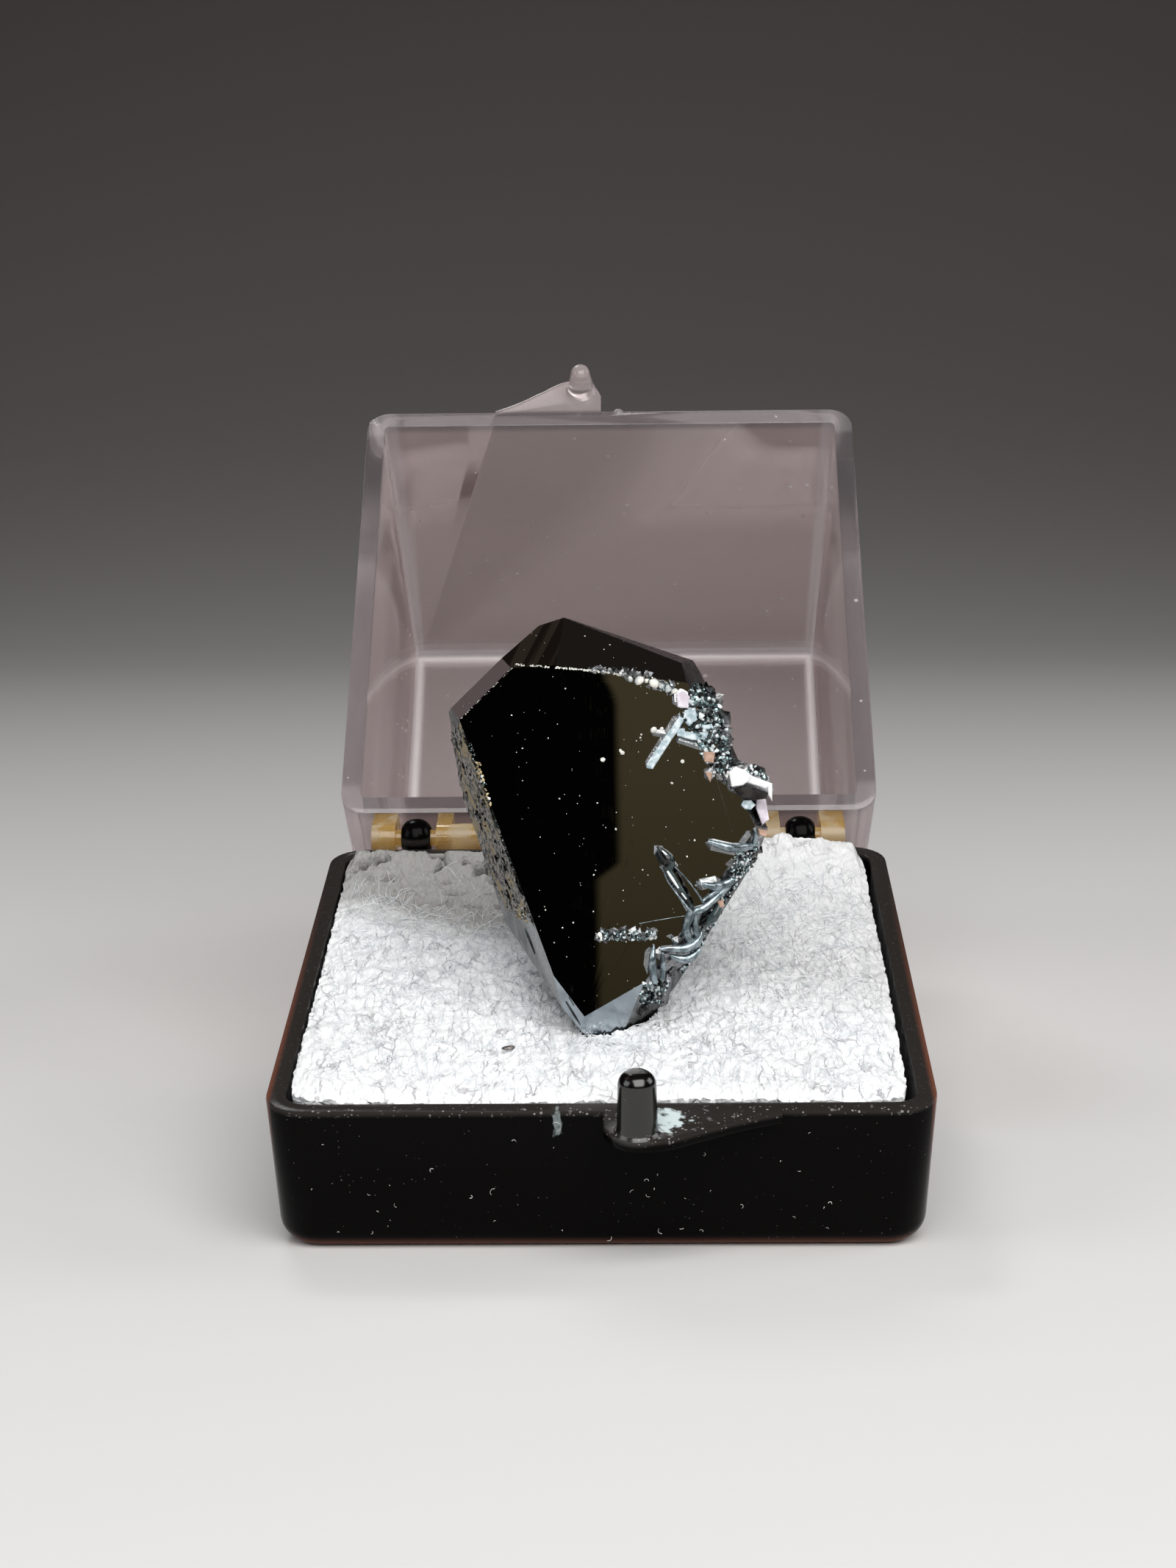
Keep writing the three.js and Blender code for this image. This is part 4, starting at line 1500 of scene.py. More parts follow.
    def build(self, where: Placement, crystal: BVHTree) -> None:
        """Models the pad and its threads.

        Args:
            where: The frames.
            crystal: The crystal's surface in the tray's millimetres.
        """
        pad = Workpiece.grid("foam", self.low[:2], self.high[:2], self.pitch)
        hollow = pad.item.data.attributes.new("hollow", "FLOAT", "POINT")
        for point, value in zip(pad.item.data.vertices, hollow.data):
            point.co.xy = self.trimmed(point.co.x, point.co.y)
            high, value.value = self.relief(point.co.x, point.co.y)
            point.co.z = self.settled(point.co, high, crystal)
        pad.item.data.update()
        self.surface = BVHTree.FromPolygons(
            [point.co.copy() for point in pad.item.data.vertices],
            [tuple(face.vertices) for face in pad.item.data.polygons],
        )
        pad.select(Part.FACES)
        bpy.ops.mesh.region_to_loop()
        bpy.ops.mesh.extrude_edges_move(TRANSFORM_OT_translate={"value": (0, 0, -self.skirt)})
        bpy.ops.transform.resize(value=(0.96, 0.96, 0), center_override=(0, 16, self.low[2]))
        bpy.ops.mesh.edge_face_add()
        deselect_all()
        made = pad.finish(where.tray, Body.BOX, Slot.FOAM, FoamWhite("foam", where.tray).material(), 60.0)
        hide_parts("foam_pad")
        self.threads(where, crystal)
        self.dark_fleck(where)

    def trimmed(self, x: float, y: float) -> Pair:
        """Where a point of the square mesh goes, so that the corners are round and the edges ragged.

        Args:
            x: The place's x.
            y: The place's y.

        Returns:
            Its new x and y.
        """
        middle = [(low + high) / 2 for low, high in zip(self.low, self.high)]
        half = [(high - low) / 2 for low, high in zip(self.low, self.high)]
        u, v = (x - middle[0]) / half[0], (y - middle[1]) / half[1]
        reach = max(abs(u), abs(v))
        if reach < 0.5:
            return x, y
        spread = (abs(u) ** 24 + abs(v) ** 24) ** (1 / 24)
        ragged = 0.006 * (1 + noise.noise(Vector((x * 1.6, y * 1.6, 9.0)))) * reach**16
        share = reach / spread * (1 - ragged)
        return middle[0] + u * half[0] * share, middle[1] + v * half[1] * share

    def settled(self, place: Vector, high: float, crystal: BVHTree) -> float:
        """The height of one point of the top, pressed down where the crystal stands.

        Args:
            place: The point.
            high: The height that the relief gives it.
            crystal: The crystal's surface in the tray's millimetres.

        Returns:
            The height.
        """
        for level in (high, high - 0.35):
            nearest, normal, _, far = crystal.find_nearest(Vector((place.x, place.y, level)), 2.5)
            if nearest is None:
                continue
            inside = (Vector((place.x, place.y, level)) - nearest).dot(normal) < 0
            if inside or far < 0.06:
                return self.pressed_to
        return high

    def threads(self, where: Placement, crystal: BVHTree) -> None:
        """Models the threads on the foam: white ones, grey ones, and those at the crystal's foot.

        Args:
            where: The frames.
            crystal: The crystal's surface in the tray's millimetres.
        """
        draw = Random(self.seed)
        white = FoamThread("foam threads", where.tray)
        # The grey strands are shaded copies of the white threads: painted shade.
        grey = FoamThread("foam strands", where.tray, (0.42, 0.41, 0.43), (0.70, 0.70, 0.73))
        everywhere = (*self.low[:2], *self.high[:2])
        in_front = (*self.low[:2], self.high[0], self.strands_end)
        rows = (
            ("foam_threads", white, self.thread_count, everywhere, 0.5, (0.03, 0.30), 0.25),
            ("foam_strands", grey, self.strand_count, in_front, 0.16, (0.0, 0.05), 0.25),
            ("foam_fuzz", white, self.fuzz_count, self.fuzz_area, 1.2, (0.15, 0.5), 0.01),
        )
        for name, finish, count, (left, near, right, far), spread, rises, clear in rows:
            lines, radii = [], []
            while len(lines) < count:
                start = (draw.uniform(left + 0.2, right - 0.2), draw.uniform(near + 0.2, far - 0.2))
                turn = draw.gauss(math.pi / 2, spread if draw.random() < 0.8 else 4 * spread)
                long, rise, bend = draw.uniform(0.6, 2.6), draw.uniform(*rises), draw.uniform(-0.7, 0.7)
                line = self.thread(start, turn, long, rise, bend)
                size = draw.uniform(0.008, 0.018)
                if draw.random() > 0.02 + 0.98 * self.front(*start) ** 2:
                    continue
                if line and crystal.find_nearest(Vector(line[2]), clear)[0] is None:
                    lines.append(line)
                    radii.append([size * 0.45, size, size, size, size * 0.45])
            made = threads(name, lines, radii)
            made.finish(where.tray, Body.BOX, Slot.FOAM, finish.material())

    def dark_fleck(self, where: Placement) -> None:
        """Models the one dark fleck that lies on the foam in front of the crystal.

        Args:
            where: The frames.
        """
        fleck = Workpiece.ball("foam_fleck", 2)
        top = self.surface.ray_cast(Vector((*self.fleck, 6)), Vector((0, 0, -1)))[0]
        lay = Matrix.Translation(top + Vector((0, 0, 0.22))) @ Matrix.Rotation(0.3, 4, "Z")
        fleck.move(lay @ Matrix.Diagonal((*self.fleck_size, 1)))
        dark = Mineral("fleck", where.tray, (0.30, 0.28, 0.27), (0.05, 0.045, 0.045), 0.2)
        fleck.finish(where.tray, Body.BOX, Slot.FOAM, dark.material())

    def thread(self, start: Pair, turn: float, long: float, rise: float, bend: float) -> list[Point]:
        """One thread's five points, or none where it would leave the foam.

        Args:
            start: Its first point's x and y.
            turn: Its direction, in radians.
            long: Its length.
            rise: How high it arches.
            bend: How far it turns on its way, in radians.

        Returns:
            The points.
        """
        line = []
        x, y = start
        for step in range(5):
            found = self.surface.ray_cast(Vector((x, y, 6)), Vector((0, 0, -1)))[0]
            if found is None or found.z < -1.5 or self.shoulder(x, y) < 0.3:
                return []
            arch = math.sin(math.pi * step / 4) * rise
            line.append((x, y, min(found.z - 0.01 + arch, self.shoulder(x, y) + 0.05)))
            x += math.cos(turn) * long / 4
            y += math.sin(turn) * long / 4
            turn += bend / 4
        return line


# The crystal


@dataclass(frozen=True)
class Strip:
    """A strip of grains between two lines of equally many points in u and v."""

    inner: tuple[Pair, ...]
    outer: tuple[Pair, ...]
    count: int
    size: float

    def place(self, along: float, across: float) -> Pair:
        """The place at a share of its length and a share of its width.

        Args:
            along: The share of its length.
            across: The share of its width.

        Returns:
            Its u and v.
        """
        spot = along * (len(self.inner) - 1)
        first = min(int(spot), len(self.inner) - 2)
        ends = []
        for line in (self.inner, self.outer):
            ends.append(Vector(line[first]).lerp(Vector(line[first + 1]), spot - first))
        place = ends[0].lerp(ends[1], across)
        return place.x, place.y


@dataclass(frozen=True)
class Growth:
    """A smooth grown limb: its line, its radius at each point, and its height over the face."""

    line: tuple[Pair, ...]
    radii: tuple[float, ...]
    lift: float


@dataclass
class CrystalDetail:
    """What is finer on the crystal than its solid: its finish, side crust, druse, plates and dust."""

    seed: int = 5
    blackened: tuple[Point, ...] = (
        (3.7, 8.75, 0.55), (4.0, 8.1, 0.42), (4.3, 7.5, 0.36), (4.6, 7.0, 0.32), (4.9, 6.5, 0.28),
        (5.9, 5.6, 0.6), (5.6, 17.5, 0.9), (6.3, 17.2, 0.7), (-6.4, 16.05, 1.0),
    )
    druse: tuple[Strip, ...] = (
        Strip(
            ((5.1, 16.8), (4.9, 15.6), (5.2, 14.5), (6.3, 12.8)),
            ((5.7, 17.2), (6.5, 16.5), (7.0, 15.0), (7.3, 13.2)), 520, 0.15,
        ),
        Strip(((3.0, 17.3), (3.6, 17.0), (4.2, 16.7)), ((3.1, 17.6), (3.7, 17.4), (4.5, 17.05)), 60, 0.08),
        Strip(((8.0, 12.75), (8.9, 12.35)), ((8.1, 13.15), (9.05, 12.7)), 34, 0.15),
        Strip(((7.2, 9.2), (7.0, 8.1), (7.0, 7.4)), ((8.5, 9.4), (8.0, 7.9), (7.4, 7.1)), 190, 0.10),
        Strip(((5.0, 3.6), (4.3, 2.9)), ((5.4, 3.9), (4.8, 2.5)), 60, 0.10),
        Strip(
            ((7.5, 8.9), (6.5, 7.0), (5.6, 5.2), (4.5, 3.4)),
            ((8.3, 8.8), (7.3, 6.9), (6.3, 5.1), (5.2, 3.3)), 230, 0.11,
        ),
        Strip(((2.5, 2.6), (2.3, 1.4)), ((3.9, 2.5), (3.5, 1.2)), 150, 0.09),
        Strip(((6.0, 13.6), (6.5, 12.6)), ((6.6, 13.9), (7.1, 12.9)), 60, 0.09),
        Strip(
            ((-6.05, 15.2), (-5.5, 13.2), (-4.6, 10.8), (-3.6, 8.2)),
            ((-6.5, 15.0), (-6.1, 13.0), (-5.4, 10.6), (-4.4, 8.0)), 300, 0.045,
        ),
    )
    flecks: Strip = Strip(
        ((-6.0, 14.6), (-5.3, 12.0), (-4.6, 9.5), (-3.7, 7.0)),
        ((-5.6, 14.6), (-4.9, 12.0), (-4.1, 9.5), (-3.3, 7.0)), 420, 0.036,
    )
    ochre: tuple[Strip, ...] = (
        Strip(
            ((-5.45, 13.6), (-5.2, 12.4), (-4.9, 11.2)), ((-5.2, 13.6), (-4.95, 12.4), (-4.6, 11.2)),
            90, 0.07,
        ),
        Strip(((-3.8, 6.4), (-3.5, 5.7)), ((-3.1, 6.4), (-2.9, 5.6)), 80, 0.08),
        Strip(((-6.0, 12.8), (-5.7, 11.5)), ((-5.8, 12.8), (-5.4, 11.5)), 40, 0.06),
    )
    bar: tuple[Pair, ...] = ((0.67, 4.95), (1.42, 4.90), (2.18, 4.87), (2.94, 4.89))
    nodules: tuple[Point, ...] = (
        (2.28, 17.50, 0.15), (2.70, 17.40, 0.25), (3.08, 17.38, 0.13), (3.44, 17.25, 0.28),
        (3.82, 17.10, 0.17), (4.12, 16.98, 0.20), (4.42, 16.84, 0.17), (3.35, 14.95, 0.18),
        (3.75, 14.98, 0.13), (0.45, 4.97, 0.14), (0.52, 4.78, 0.12), (3.10, 4.97, 0.15),
        (3.2, 4.78, 0.12), (2.98, 4.75, 0.13),
    )
    wear: tuple[Pair, ...] = ((-3.35, 18.31), (-1.95, 18.17), (-0.51, 18.02), (0.93, 17.84), (1.82, 17.68))
    faint_wear: tuple[Pair, ...] = ((-6.12, 15.68), (-4.68, 17.03), (-3.35, 18.29))
    dust_count: int = 200
    specks: tuple[Point, ...] = (
        (0.83, 13.57, 0.13), (1.80, 13.88, 0.13), (1.7, 14.0, 0.08), (4.74, 13.38, 0.11),
        (4.19, 12.33, 0.09), (2.7, 14.6, 0.06), (2.75, 14.75, 0.05), (2.5, 14.45, 0.04),
        (1.38, 10.14, 0.07), (0.24, 7.92, 0.05), (-0.83, 5.6, 0.05), (4.85, 8.7, 0.05),
        (5.24, 9.49, 0.06),
    )
    steel: tuple[Growth, ...] = (
        Growth(((5.25, 7.42), (5.90, 7.22), (6.62, 7.18), (7.1, 7.5)), (0.05, 0.2, 0.24, 0.2), 0.2),
        Growth(((5.55, 6.5), (6.05, 6.85), (6.9, 7.3)), (0.06, 0.15, 0.16), 0.2),
        Growth(
            ((6.9, 7.2), (6.2, 6.6), (5.6, 6.1), (5.05, 6.0), (4.8, 5.4)), (0.14, 0.2, 0.2, 0.22, 0.2), 0.15
        ),
        Growth(((4.95, 6.05), (4.7, 5.4), (4.75, 4.8), (5.1, 4.2)), (0.12, 0.2, 0.24, 0.18), 0.2),
        Growth(((5.2, 5.9), (5.1, 5.3), (5.4, 4.7), (5.2, 4.3)), (0.1, 0.17, 0.22, 0.2), 0.25),
        Growth(
            ((3.35, 4.2), (3.95, 4.2), (4.7, 4.12), (5.3, 4.45), (5.5, 4.95)),
            (0.06, 0.17, 0.25, 0.26, 0.12), 0.3,
        ),
        Growth(((3.9, 3.85), (4.4, 3.6), (5.0, 3.65), (5.4, 4.1)), (0.08, 0.22, 0.24, 0.12), 0.2),
        Growth(((3.1, 4.4), (3.02, 3.9), (3.0, 3.2), (3.15, 2.5)), (0.05, 0.18, 0.22, 0.12), 0.2),
        Growth(((3.5, 4.0), (3.55, 3.3), (3.5, 2.6)), (0.08, 0.18, 0.1), 0.15),
        Growth(((5.9, 9.42), (6.5, 9.22), (7.2, 9.02), (8.0, 9.15)), (0.12, 0.2, 0.22, 0.2), 0.2),
        Growth(((8.15, 9.2), (8.35, 9.6), (8.2, 10.0)), (0.16, 0.14, 0.06), 0.1),
        Growth(((4.2, 8.25), (4.8, 7.6), (5.32, 6.9), (5.6, 6.4)), (0.05, 0.04, 0.045, 0.07), 0.1),
        Growth(((2.41, 5.46), (3.5, 5.64), (4.65, 5.78)), (0.01, 0.016, 0.016), 0.01),
        Growth(
            ((3.5, 8.25), (3.72, 8.0), (3.80, 7.6), (4.35, 6.8), (4.9, 6.05)),
            (0.03, 0.05, 0.04, 0.05, 0.09), 0.2,
        ),
    )
    jet: tuple[Growth, ...] = (
        Growth(((3.45, 9.15), (3.75, 8.8), (3.98, 8.45), (4.05, 8.05)), (0.14, 0.30, 0.34, 0.1), 0.12),
        Growth(((3.75, 8.3), (4.2, 7.5), (4.7, 6.7), (5.0, 6.2)), (0.2, 0.17, 0.15, 0.12), 0.16),
        Growth(((5.5, 5.3), (5.9, 5.4), (6.3, 5.9), (6.5, 6.4)), (0.1, 0.25, 0.25, 0.1), 0.0),
    )
    # White tubes along the dark limbs: painted highlights.
    glints: tuple[Growth, ...] = (
        Growth(((3.82, 8.05), (4.03, 7.7), (4.35, 7.2)), (0.05, 0.10, 0.04), 0.36),
        Growth(((4.5, 6.95), (4.73, 6.64)), (0.04, 0.04), 0.30),
        Growth(((3.6, 9.05), (3.8, 8.85)), (0.04, 0.05), 0.42),
        Growth(((3.6, 4.27), (3.95, 4.3), (4.3, 4.22)), (0.02, 0.05, 0.02), 0.5),
    )
    white_plates: tuple[tuple[Pair, ...], ...] = (
        (
            (6.98, 12.81), (7.31, 13.06), (7.74, 12.9), (8.0, 12.7),
            (7.95, 12.35), (7.65, 12.14), (7.1, 12.08),
        ),
        (
            (7.9, 12.75), (8.27, 12.52), (9.1, 12.2), (9.12, 11.9),
            (8.94, 11.88), (8.29, 12.1), (7.85, 12.25),
        ),
        ((9.13, 12.2), (9.11, 11.31), (8.93, 11.6), (8.88, 12.05)),
        ((7.45, 11.85), (7.7, 11.85), (7.75, 11.65), (7.55, 11.6)),
    )
    # A black sheet in the hollow under the white arch: painted shade.
    painted_shade_plates: tuple[tuple[Pair, ...], ...] = (
        ((7.15, 12.0), (7.65, 12.08), (8.3, 11.98), (8.85, 11.75), (8.8, 11.45), (8.3, 11.4), (7.5, 11.55)),
    )
    lilac_plates: tuple[tuple[Pair, ...], ...] = (
        ((4.51, 16.7), (4.87, 16.84), (5.16, 16.54), (5.07, 15.97), (4.56, 16.05)),
        ((8.37, 11.58), (8.8, 11.5), (8.97, 10.4), (8.62, 10.13), (8.34, 10.97)),
    )
    peach_plates: tuple[tuple[Pair, ...], ...] = (
        ((5.74, 13.85), (6.32, 13.77), (6.23, 13.26), (5.8, 13.35)),
        ((5.79, 12.88), (6.18, 12.76), (6.07, 12.33)),
        ((8.36, 9.99), (8.87, 9.86), (8.75, 9.58), (8.43, 9.66)),
        ((6.3, 6.45), (6.6, 6.5), (6.65, 6.15), (6.4, 6.1)),
    )
    pale_blue_plates: tuple[tuple[Pair, ...], ...] = (
        ((4.62, 15.6), (4.9, 15.45), (3.25, 13.05), (2.98, 13.1), (2.95, 13.3)),
        ((4.3, 14.75), (4.35, 15.0), (4.9, 15.0), (4.85, 14.7)),
        ((4.9, 15.9), (5.4, 15.95), (5.5, 15.4), (5.1, 15.1), (4.8, 15.4)),
        ((4.5, 14.95), (5.2, 14.8), (5.9, 14.6), (5.9, 14.38), (5.2, 14.42), (4.5, 14.65)),
        ((5.7, 15.1), (6.2, 15.2), (6.3, 14.95), (5.8, 14.9)),
        ((5.6, 14.8), (6.1, 14.75), (6.0, 14.5), (5.6, 14.55)),
        ((7.56, 11.17), (7.7, 11.38), (8.05, 11.41), (8.28, 11.15), (8.05, 10.92), (7.75, 10.95)),
    )
    # Dark tubes along the cracks in the foot: painted shade.
    slits: tuple[Growth, ...] = (
        Growth(((-3.22, 5.35), (-3.0, 4.8), (-2.75, 4.07)), (0.05, 0.09, 0.04), 0.0),
        Growth(((-1.29, 1.71), (-0.95, 1.1), (-0.59, 0.49)), (0.04, 0.09, 0.03), 0.0),
        Growth(((-1.15, 1.95), (-0.9, 1.5)), (0.03, 0.03), 0.0),
    )

    def build(self, where: Placement) -> BVHTree:
        """Dresses the crystal and adds its fine pieces.

        Args:
            where: The frames.

        Returns:
            The crystal's surface in the tray's millimetres.
        """
        node = frame["nodes"]["hematite_crystal"]
        node.data.materials.clear()
        node.data.materials.append(Hematite("hematite", where.crystal, self.blackened).material())
        polygons = [tuple(face.vertices) for face in node.data.polygons]
        to_crystal = where.crystal.inverted()
        own = BVHTree.FromPolygons([to_crystal @ point.co for point in node.data.vertices], polygons)
        self.side_crust(where, own)
        self.growths(where, own)
        self.round_grains(where, own)
        self.grains(where, own)
        self.plates(where, own)
        self.dust(where, own)
        to_tray = where.tray.inverted()
        return BVHTree.FromPolygons([to_tray @ point.co for point in node.data.vertices], polygons)

    @staticmethod
    def front(own: BVHTree, u: float, v: float) -> tuple[Vector, Vector] | None:
        """Where a line from the viewer's side meets the crystal at u and v, and the normal there."""
        place, normal, _, _ = own.ray_cast(Vector((u, v, 12)), Vector((0, 0, -1)))
        return None if place is None else (place, normal)

    def side_crust(self, where: Placement, own: BVHTree) -> None:
        """Models the ridged, fibrous band down the crystal's left side.

        Args:
            where: The frames.
            own: The crystal's surface in its own frame.
        """
        normal = Facet.SIDE.normal()
        crust = Workpiece.grid("side_crust", (-3.5, -5.8), (3.5, 5.8), 0.085)
        up = Vector((-0.34, 0.94, 0)).normalized()
        across = up.cross(normal).normalized()
        start = Vector((-4.6, 10.6, -0.8))
        for point in crust.item.data.vertices:
            place, way, _, _ = own.find_nearest(start + across * point.co.x + up * point.co.y)
            along = place.dot(up)
            side = place.dot(across)
            ridge = abs(noise.noise(Vector((side * 5.5, along * 1.3, 0.5))))
            chips = noise.fractal(Vector((side * 3.0, along * 2.2, 2.0)), 0.7, 2.1, 4)
            lift = 0.03 + 0.16 * ridge + 0.07 * max(0.0, chips + 0.4)
            flush = max(0.0, way.dot(normal) - 0.9) * 10
            point.co = place + normal * lift * min(1.0, flush) * self.inside(place)
        crust.select(Part.FACES, lambda place, way: way.dot(normal) < 0.75 or self.inside(place) <= 0.0)
        bpy.ops.mesh.delete(type="FACE")
        crust.select(Part.FACES)
        bpy.ops.mesh.remove_doubles(threshold=1e-3)
        finish = Mineral(
            "side crust",
            where.crystal,
            light=(0.23, 0.215, 0.20),
            dark=(0.004, 0.004, 0.004),
            grain=4.6,
            stretch=(1.9, 0.8, 1.9),
            third=(0.24, 0.19, 0.11),
            relief=0.12,
            soft=0.035,
        )
        crust.finish(where.crystal, Body.BOX, Slot.CRYSTAL, finish.material(), 25.0)

    @staticmethod
    def inside(place: Vector) -> float:
        """How far a place lies within the side crust's bounds, from 0 at its ends to 1.

        Args:
            place: The place in the crystal's frame.

        Returns:
            The share.
        """
        top = (15.6 - place.y) / 0.5
        low = (place.y - 5.9 - 0.9 * noise.noise(Vector((place.z * 2, 0, 0)))) / 0.35
        return max(0.0, min(1.0, top, low))

    def grains(self, where: Placement, own: BVHTree) -> None:
        """Models the druse: fine grains over the crusts of the solid, the bright ones painted glints.

        Args:
            where: The frames.
            own: The crystal's surface in its own frame.
        """
        draw = Random(self.seed)
        bright, teal, dark, earthy = [], [], [], []
        knots = []
        for u, v in self.bar:
            left, right = u - 0.27, u + 0.27
            lower, upper = v - 0.2, v + 0.2
            knots.append(Strip(((left, lower), (right, lower)), ((left, upper), (right, upper)), 60, 0.10))
        for strip in (*self.druse, *knots, self.flecks, *self.ochre):
            for _ in range(strip.count):
                found = self.front(own, *strip.place(draw.random(), draw.random()))
                spin = [draw.uniform(0, math.tau) for _ in range(3)]
                radius = strip.size * draw.uniform(0.45, 1.25)
                thin = draw.uniform(0.45, 1.0)
                if found is None:
                    continue
                turned = Matrix.Rotation(spin[0], 4, "X") @ Matrix.Rotation(spin[1], 4, "Y")
                turned = turned @ Matrix.Rotation(spin[2], 4, "Z")
                shape = Matrix.Diagonal((radius, radius * 0.8, radius * thin, 1))
                spot = found[0] + found[1] * radius * 0.25
                shares = (1, 0, 1, 5) if strip in self.ochre else (3, 4, 5, 0)
                kind = draw.choices((bright, teal, dark, earthy), shares)[0]
                kind.append(Matrix.Translation(spot) @ turned @ shape)
        at = where.crystal
        rows = (
            # The bright grains are near-white and hardly metallic: painted glints, for light flashing off
            # the dark druse.
            ("druse_painted_glints", bright, Mineral(
                "bright druse", at, (0.96, 0.99, 1.0), (0.62, 0.72, 0.76), 0.15, 0.12, 7.0
            )),
            ("druse_teal", teal, Mineral(
                "teal druse", at, (0.42, 0.56, 0.58), (0.14, 0.20, 0.21), 0.9, 0.10, 6.0
            )),
            ("druse_dark", dark, Mineral(
                "dark druse", at, (0.09, 0.10, 0.105), (0.015, 0.015, 0.015), 0.9, 0.10, 5.0
            )),
            ("ochre_grains", earthy, Mineral(
                "ochre grains", at, (0.66, 0.55, 0.33), (0.26, 0.20, 0.11), 0.0, 0.4, 5.0
            )),
        )
        for name, places, finish in rows:
            deselect_all()
            bpy.ops.mesh.primitive_cone_add(vertices=6, radius1=1, radius2=0.45, depth=1.2)
            grain = Workpiece("grain")
            grain.select(Part.FACES, lambda place, way: way.z < -0.9)
            bpy.ops.mesh.extrude_region_move(TRANSFORM_OT_translate={"value": (0, 0, -0.5)})
            bpy.ops.transform.resize(value=(0.4, 0.4, 1), center_override=(0, 0, 0))
            deselect_all()
            made = strewn(name, grain, places)
            made.finish(where.crystal, Body.BOX, Slot.CRYSTAL, finish.material(), 0)

    def growths(self, where: Placement, own: BVHTree) -> None:
        """Models the smooth limbs at the lower right, white tubes along them that are painted highlights,
        and dark tubes that are painted shade in the slits of the foot.

        Args:
            where: The frames.
            own: The crystal's surface in its own frame.
        """
        at = where.crystal
        steel = Mineral("steel growths", at, (0.37, 0.44, 0.48), (0.12, 0.155, 0.17), 0.8, 0.16, 2.4)
        jet = Mineral("jet growths", at, (0.05, 0.075, 0.08), (0.006, 0.006, 0.006), 0.0, 0.08, 2.0)
        white = Mineral("bright lines", at, (0.97, 0.98, 1.0), (0.80, 0.84, 0.86), 0.0, 0.2, 5.0)
        rows = (
            ("growths_steel", self.steel, steel),
            ("growths_jet", self.jet, jet),
            ("painted_glint_lines", self.glints, white),
            ("foot_slit_shade", self.slits, jet),
        )
        for name, limbs, finish in rows:
            lines = []
            for limb in limbs:
                levels = [self.level(own, u, v) for u, v in limb.line]
                lines.append([(u, v, level + limb.lift) for (u, v), level in zip(limb.line, levels)])
            made = threads(name, lines, [limb.radii for limb in limbs], 2)
            made.finish(where.crystal, Body.BOX, Slot.CRYSTAL, finish.material(), 60.0)

    def round_grains(self, where: Placement, own: BVHTree) -> None:
        """Models the larger, round nodules among the druse.

        Args:
            where: The frames.
            own: The crystal's surface in its own frame.
        """
        draw = Random(self.seed + 2)
        places = []
        for u, v, size in self.nodules:
            turn = Matrix.Rotation(draw.uniform(0, math.tau), 4, "Z")
            turn = turn @ Matrix.Rotation(draw.uniform(0, 1), 4, "X")
            shape = Matrix.Diagonal((size * draw.uniform(0.9, 1.2), size * 0.85, size * 0.8, 1))
            height = self.level(own, u, v) + size * 0.3
            places.append(Matrix.Translation((u, v, height)) @ turn @ shape)
        made = strewn("nodules", Workpiece.ball("nodules", 2), places)
        for point in made.item.data.vertices:
            point.co += point.normal * 0.05 * noise.noise(point.co * 6.0)
        pale = Mineral(
            "nodules",
            where.crystal,
            light=(0.90, 0.87, 0.80),
            dark=(0.42, 0.47, 0.48),
            gloss=0.25,
            grain=1.3,
            third=(0.95, 0.93, 0.88),
        )
        made.finish(where.crystal, Body.BOX, Slot.CRYSTAL, pale.material(), 50.0)

    @classmethod
    def level(cls, own: BVHTree, u: float, v: float) -> float:
        """How far the crystal's front stands out at u and v, held near the mirror face beside it."""
        found = cls.front(own, u, v)
        return max(-0.4, min(0.6, found[0].z)) if found else -0.2

    def plates(self, where: Placement, own: BVHTree) -> None:
        """Models the pale and coloured plates among the druse, and a black sheet of painted shade in a
        hollow, each kind at its own height over it.

        Args:
            where: The frames.
            own: The crystal's surface in its own frame.
        """
        at = where.crystal
        white = Mineral("white plates", at, (0.99, 0.99, 1.0), (0.86, 0.87, 0.90), 0.0, 0.18, 3.0)
        black = Mineral("black hollows", at, (0.03, 0.026, 0.026), (0.006, 0.005, 0.005), 0.3, 0.2, 2.0)
        lilac = Mineral("lilac plates", at, (0.84, 0.79, 0.88), (0.62, 0.56, 0.64), 0.0, 0.16, 2.0)
        peach = Mineral("peach plates", at, (0.62, 0.42, 0.33), (0.45, 0.29, 0.22), 0.2, 0.2, 3.0)
        ice = Mineral("pale blue plates", at, (0.82, 0.92, 0.97), (0.40, 0.53, 0.60), 0.25, 0.14, 3.0)
        rows = (
            ("plates_white", white, 0.22, self.white_plates),
            ("plates_black", black, 0.05, self.painted_shade_plates),
            ("plates_lilac", lilac, 0.10, self.lilac_plates),
            ("plates_peach", peach, 0.13, self.peach_plates),
            ("plates_pale_blue", ice, 0.03, self.pale_blue_plates),
        )
        for name, finish, lift, outlines in rows:
            slabs = [self.plate(name, own, outline, lift) for outline in outlines]
            whole = slabs[0]
            for slab in slabs[1:]:
                whole.merge(slab)
            whole.item.name = name
            whole.finish(at, Body.BOX, Slot.CRYSTAL, finish.material(), 0)

    def plate(self, name: str, own: BVHTree, outline: Sequence[Pair], lift: float) -> Workpiece:
        """One plate with worn upper edges, at a height over what lies under it.

        Args:
            name: Its name.
            own: The crystal's surface in its own frame.
            outline: Its corners' u and v, in order.
            lift: How high it stands over the surface.

        Returns:
            The plate.
        """
        middle = sum((Vector(point) for point in outline), Vector((0, 0))) / len(outline)
        spots = [middle, *(middle.lerp(Vector(point), 0.75) for point in outline)]
        level = max(self.level(own, *spot) for spot in spots) + lift
        slab = Workpiece.slab(name, [(u, v, level - 0.22) for u, v in outline], (0, 0, 0.26))
        slab.bevel(0.05, 1, lambda place, along: place.z > level)
        slab.tidy()
        return slab

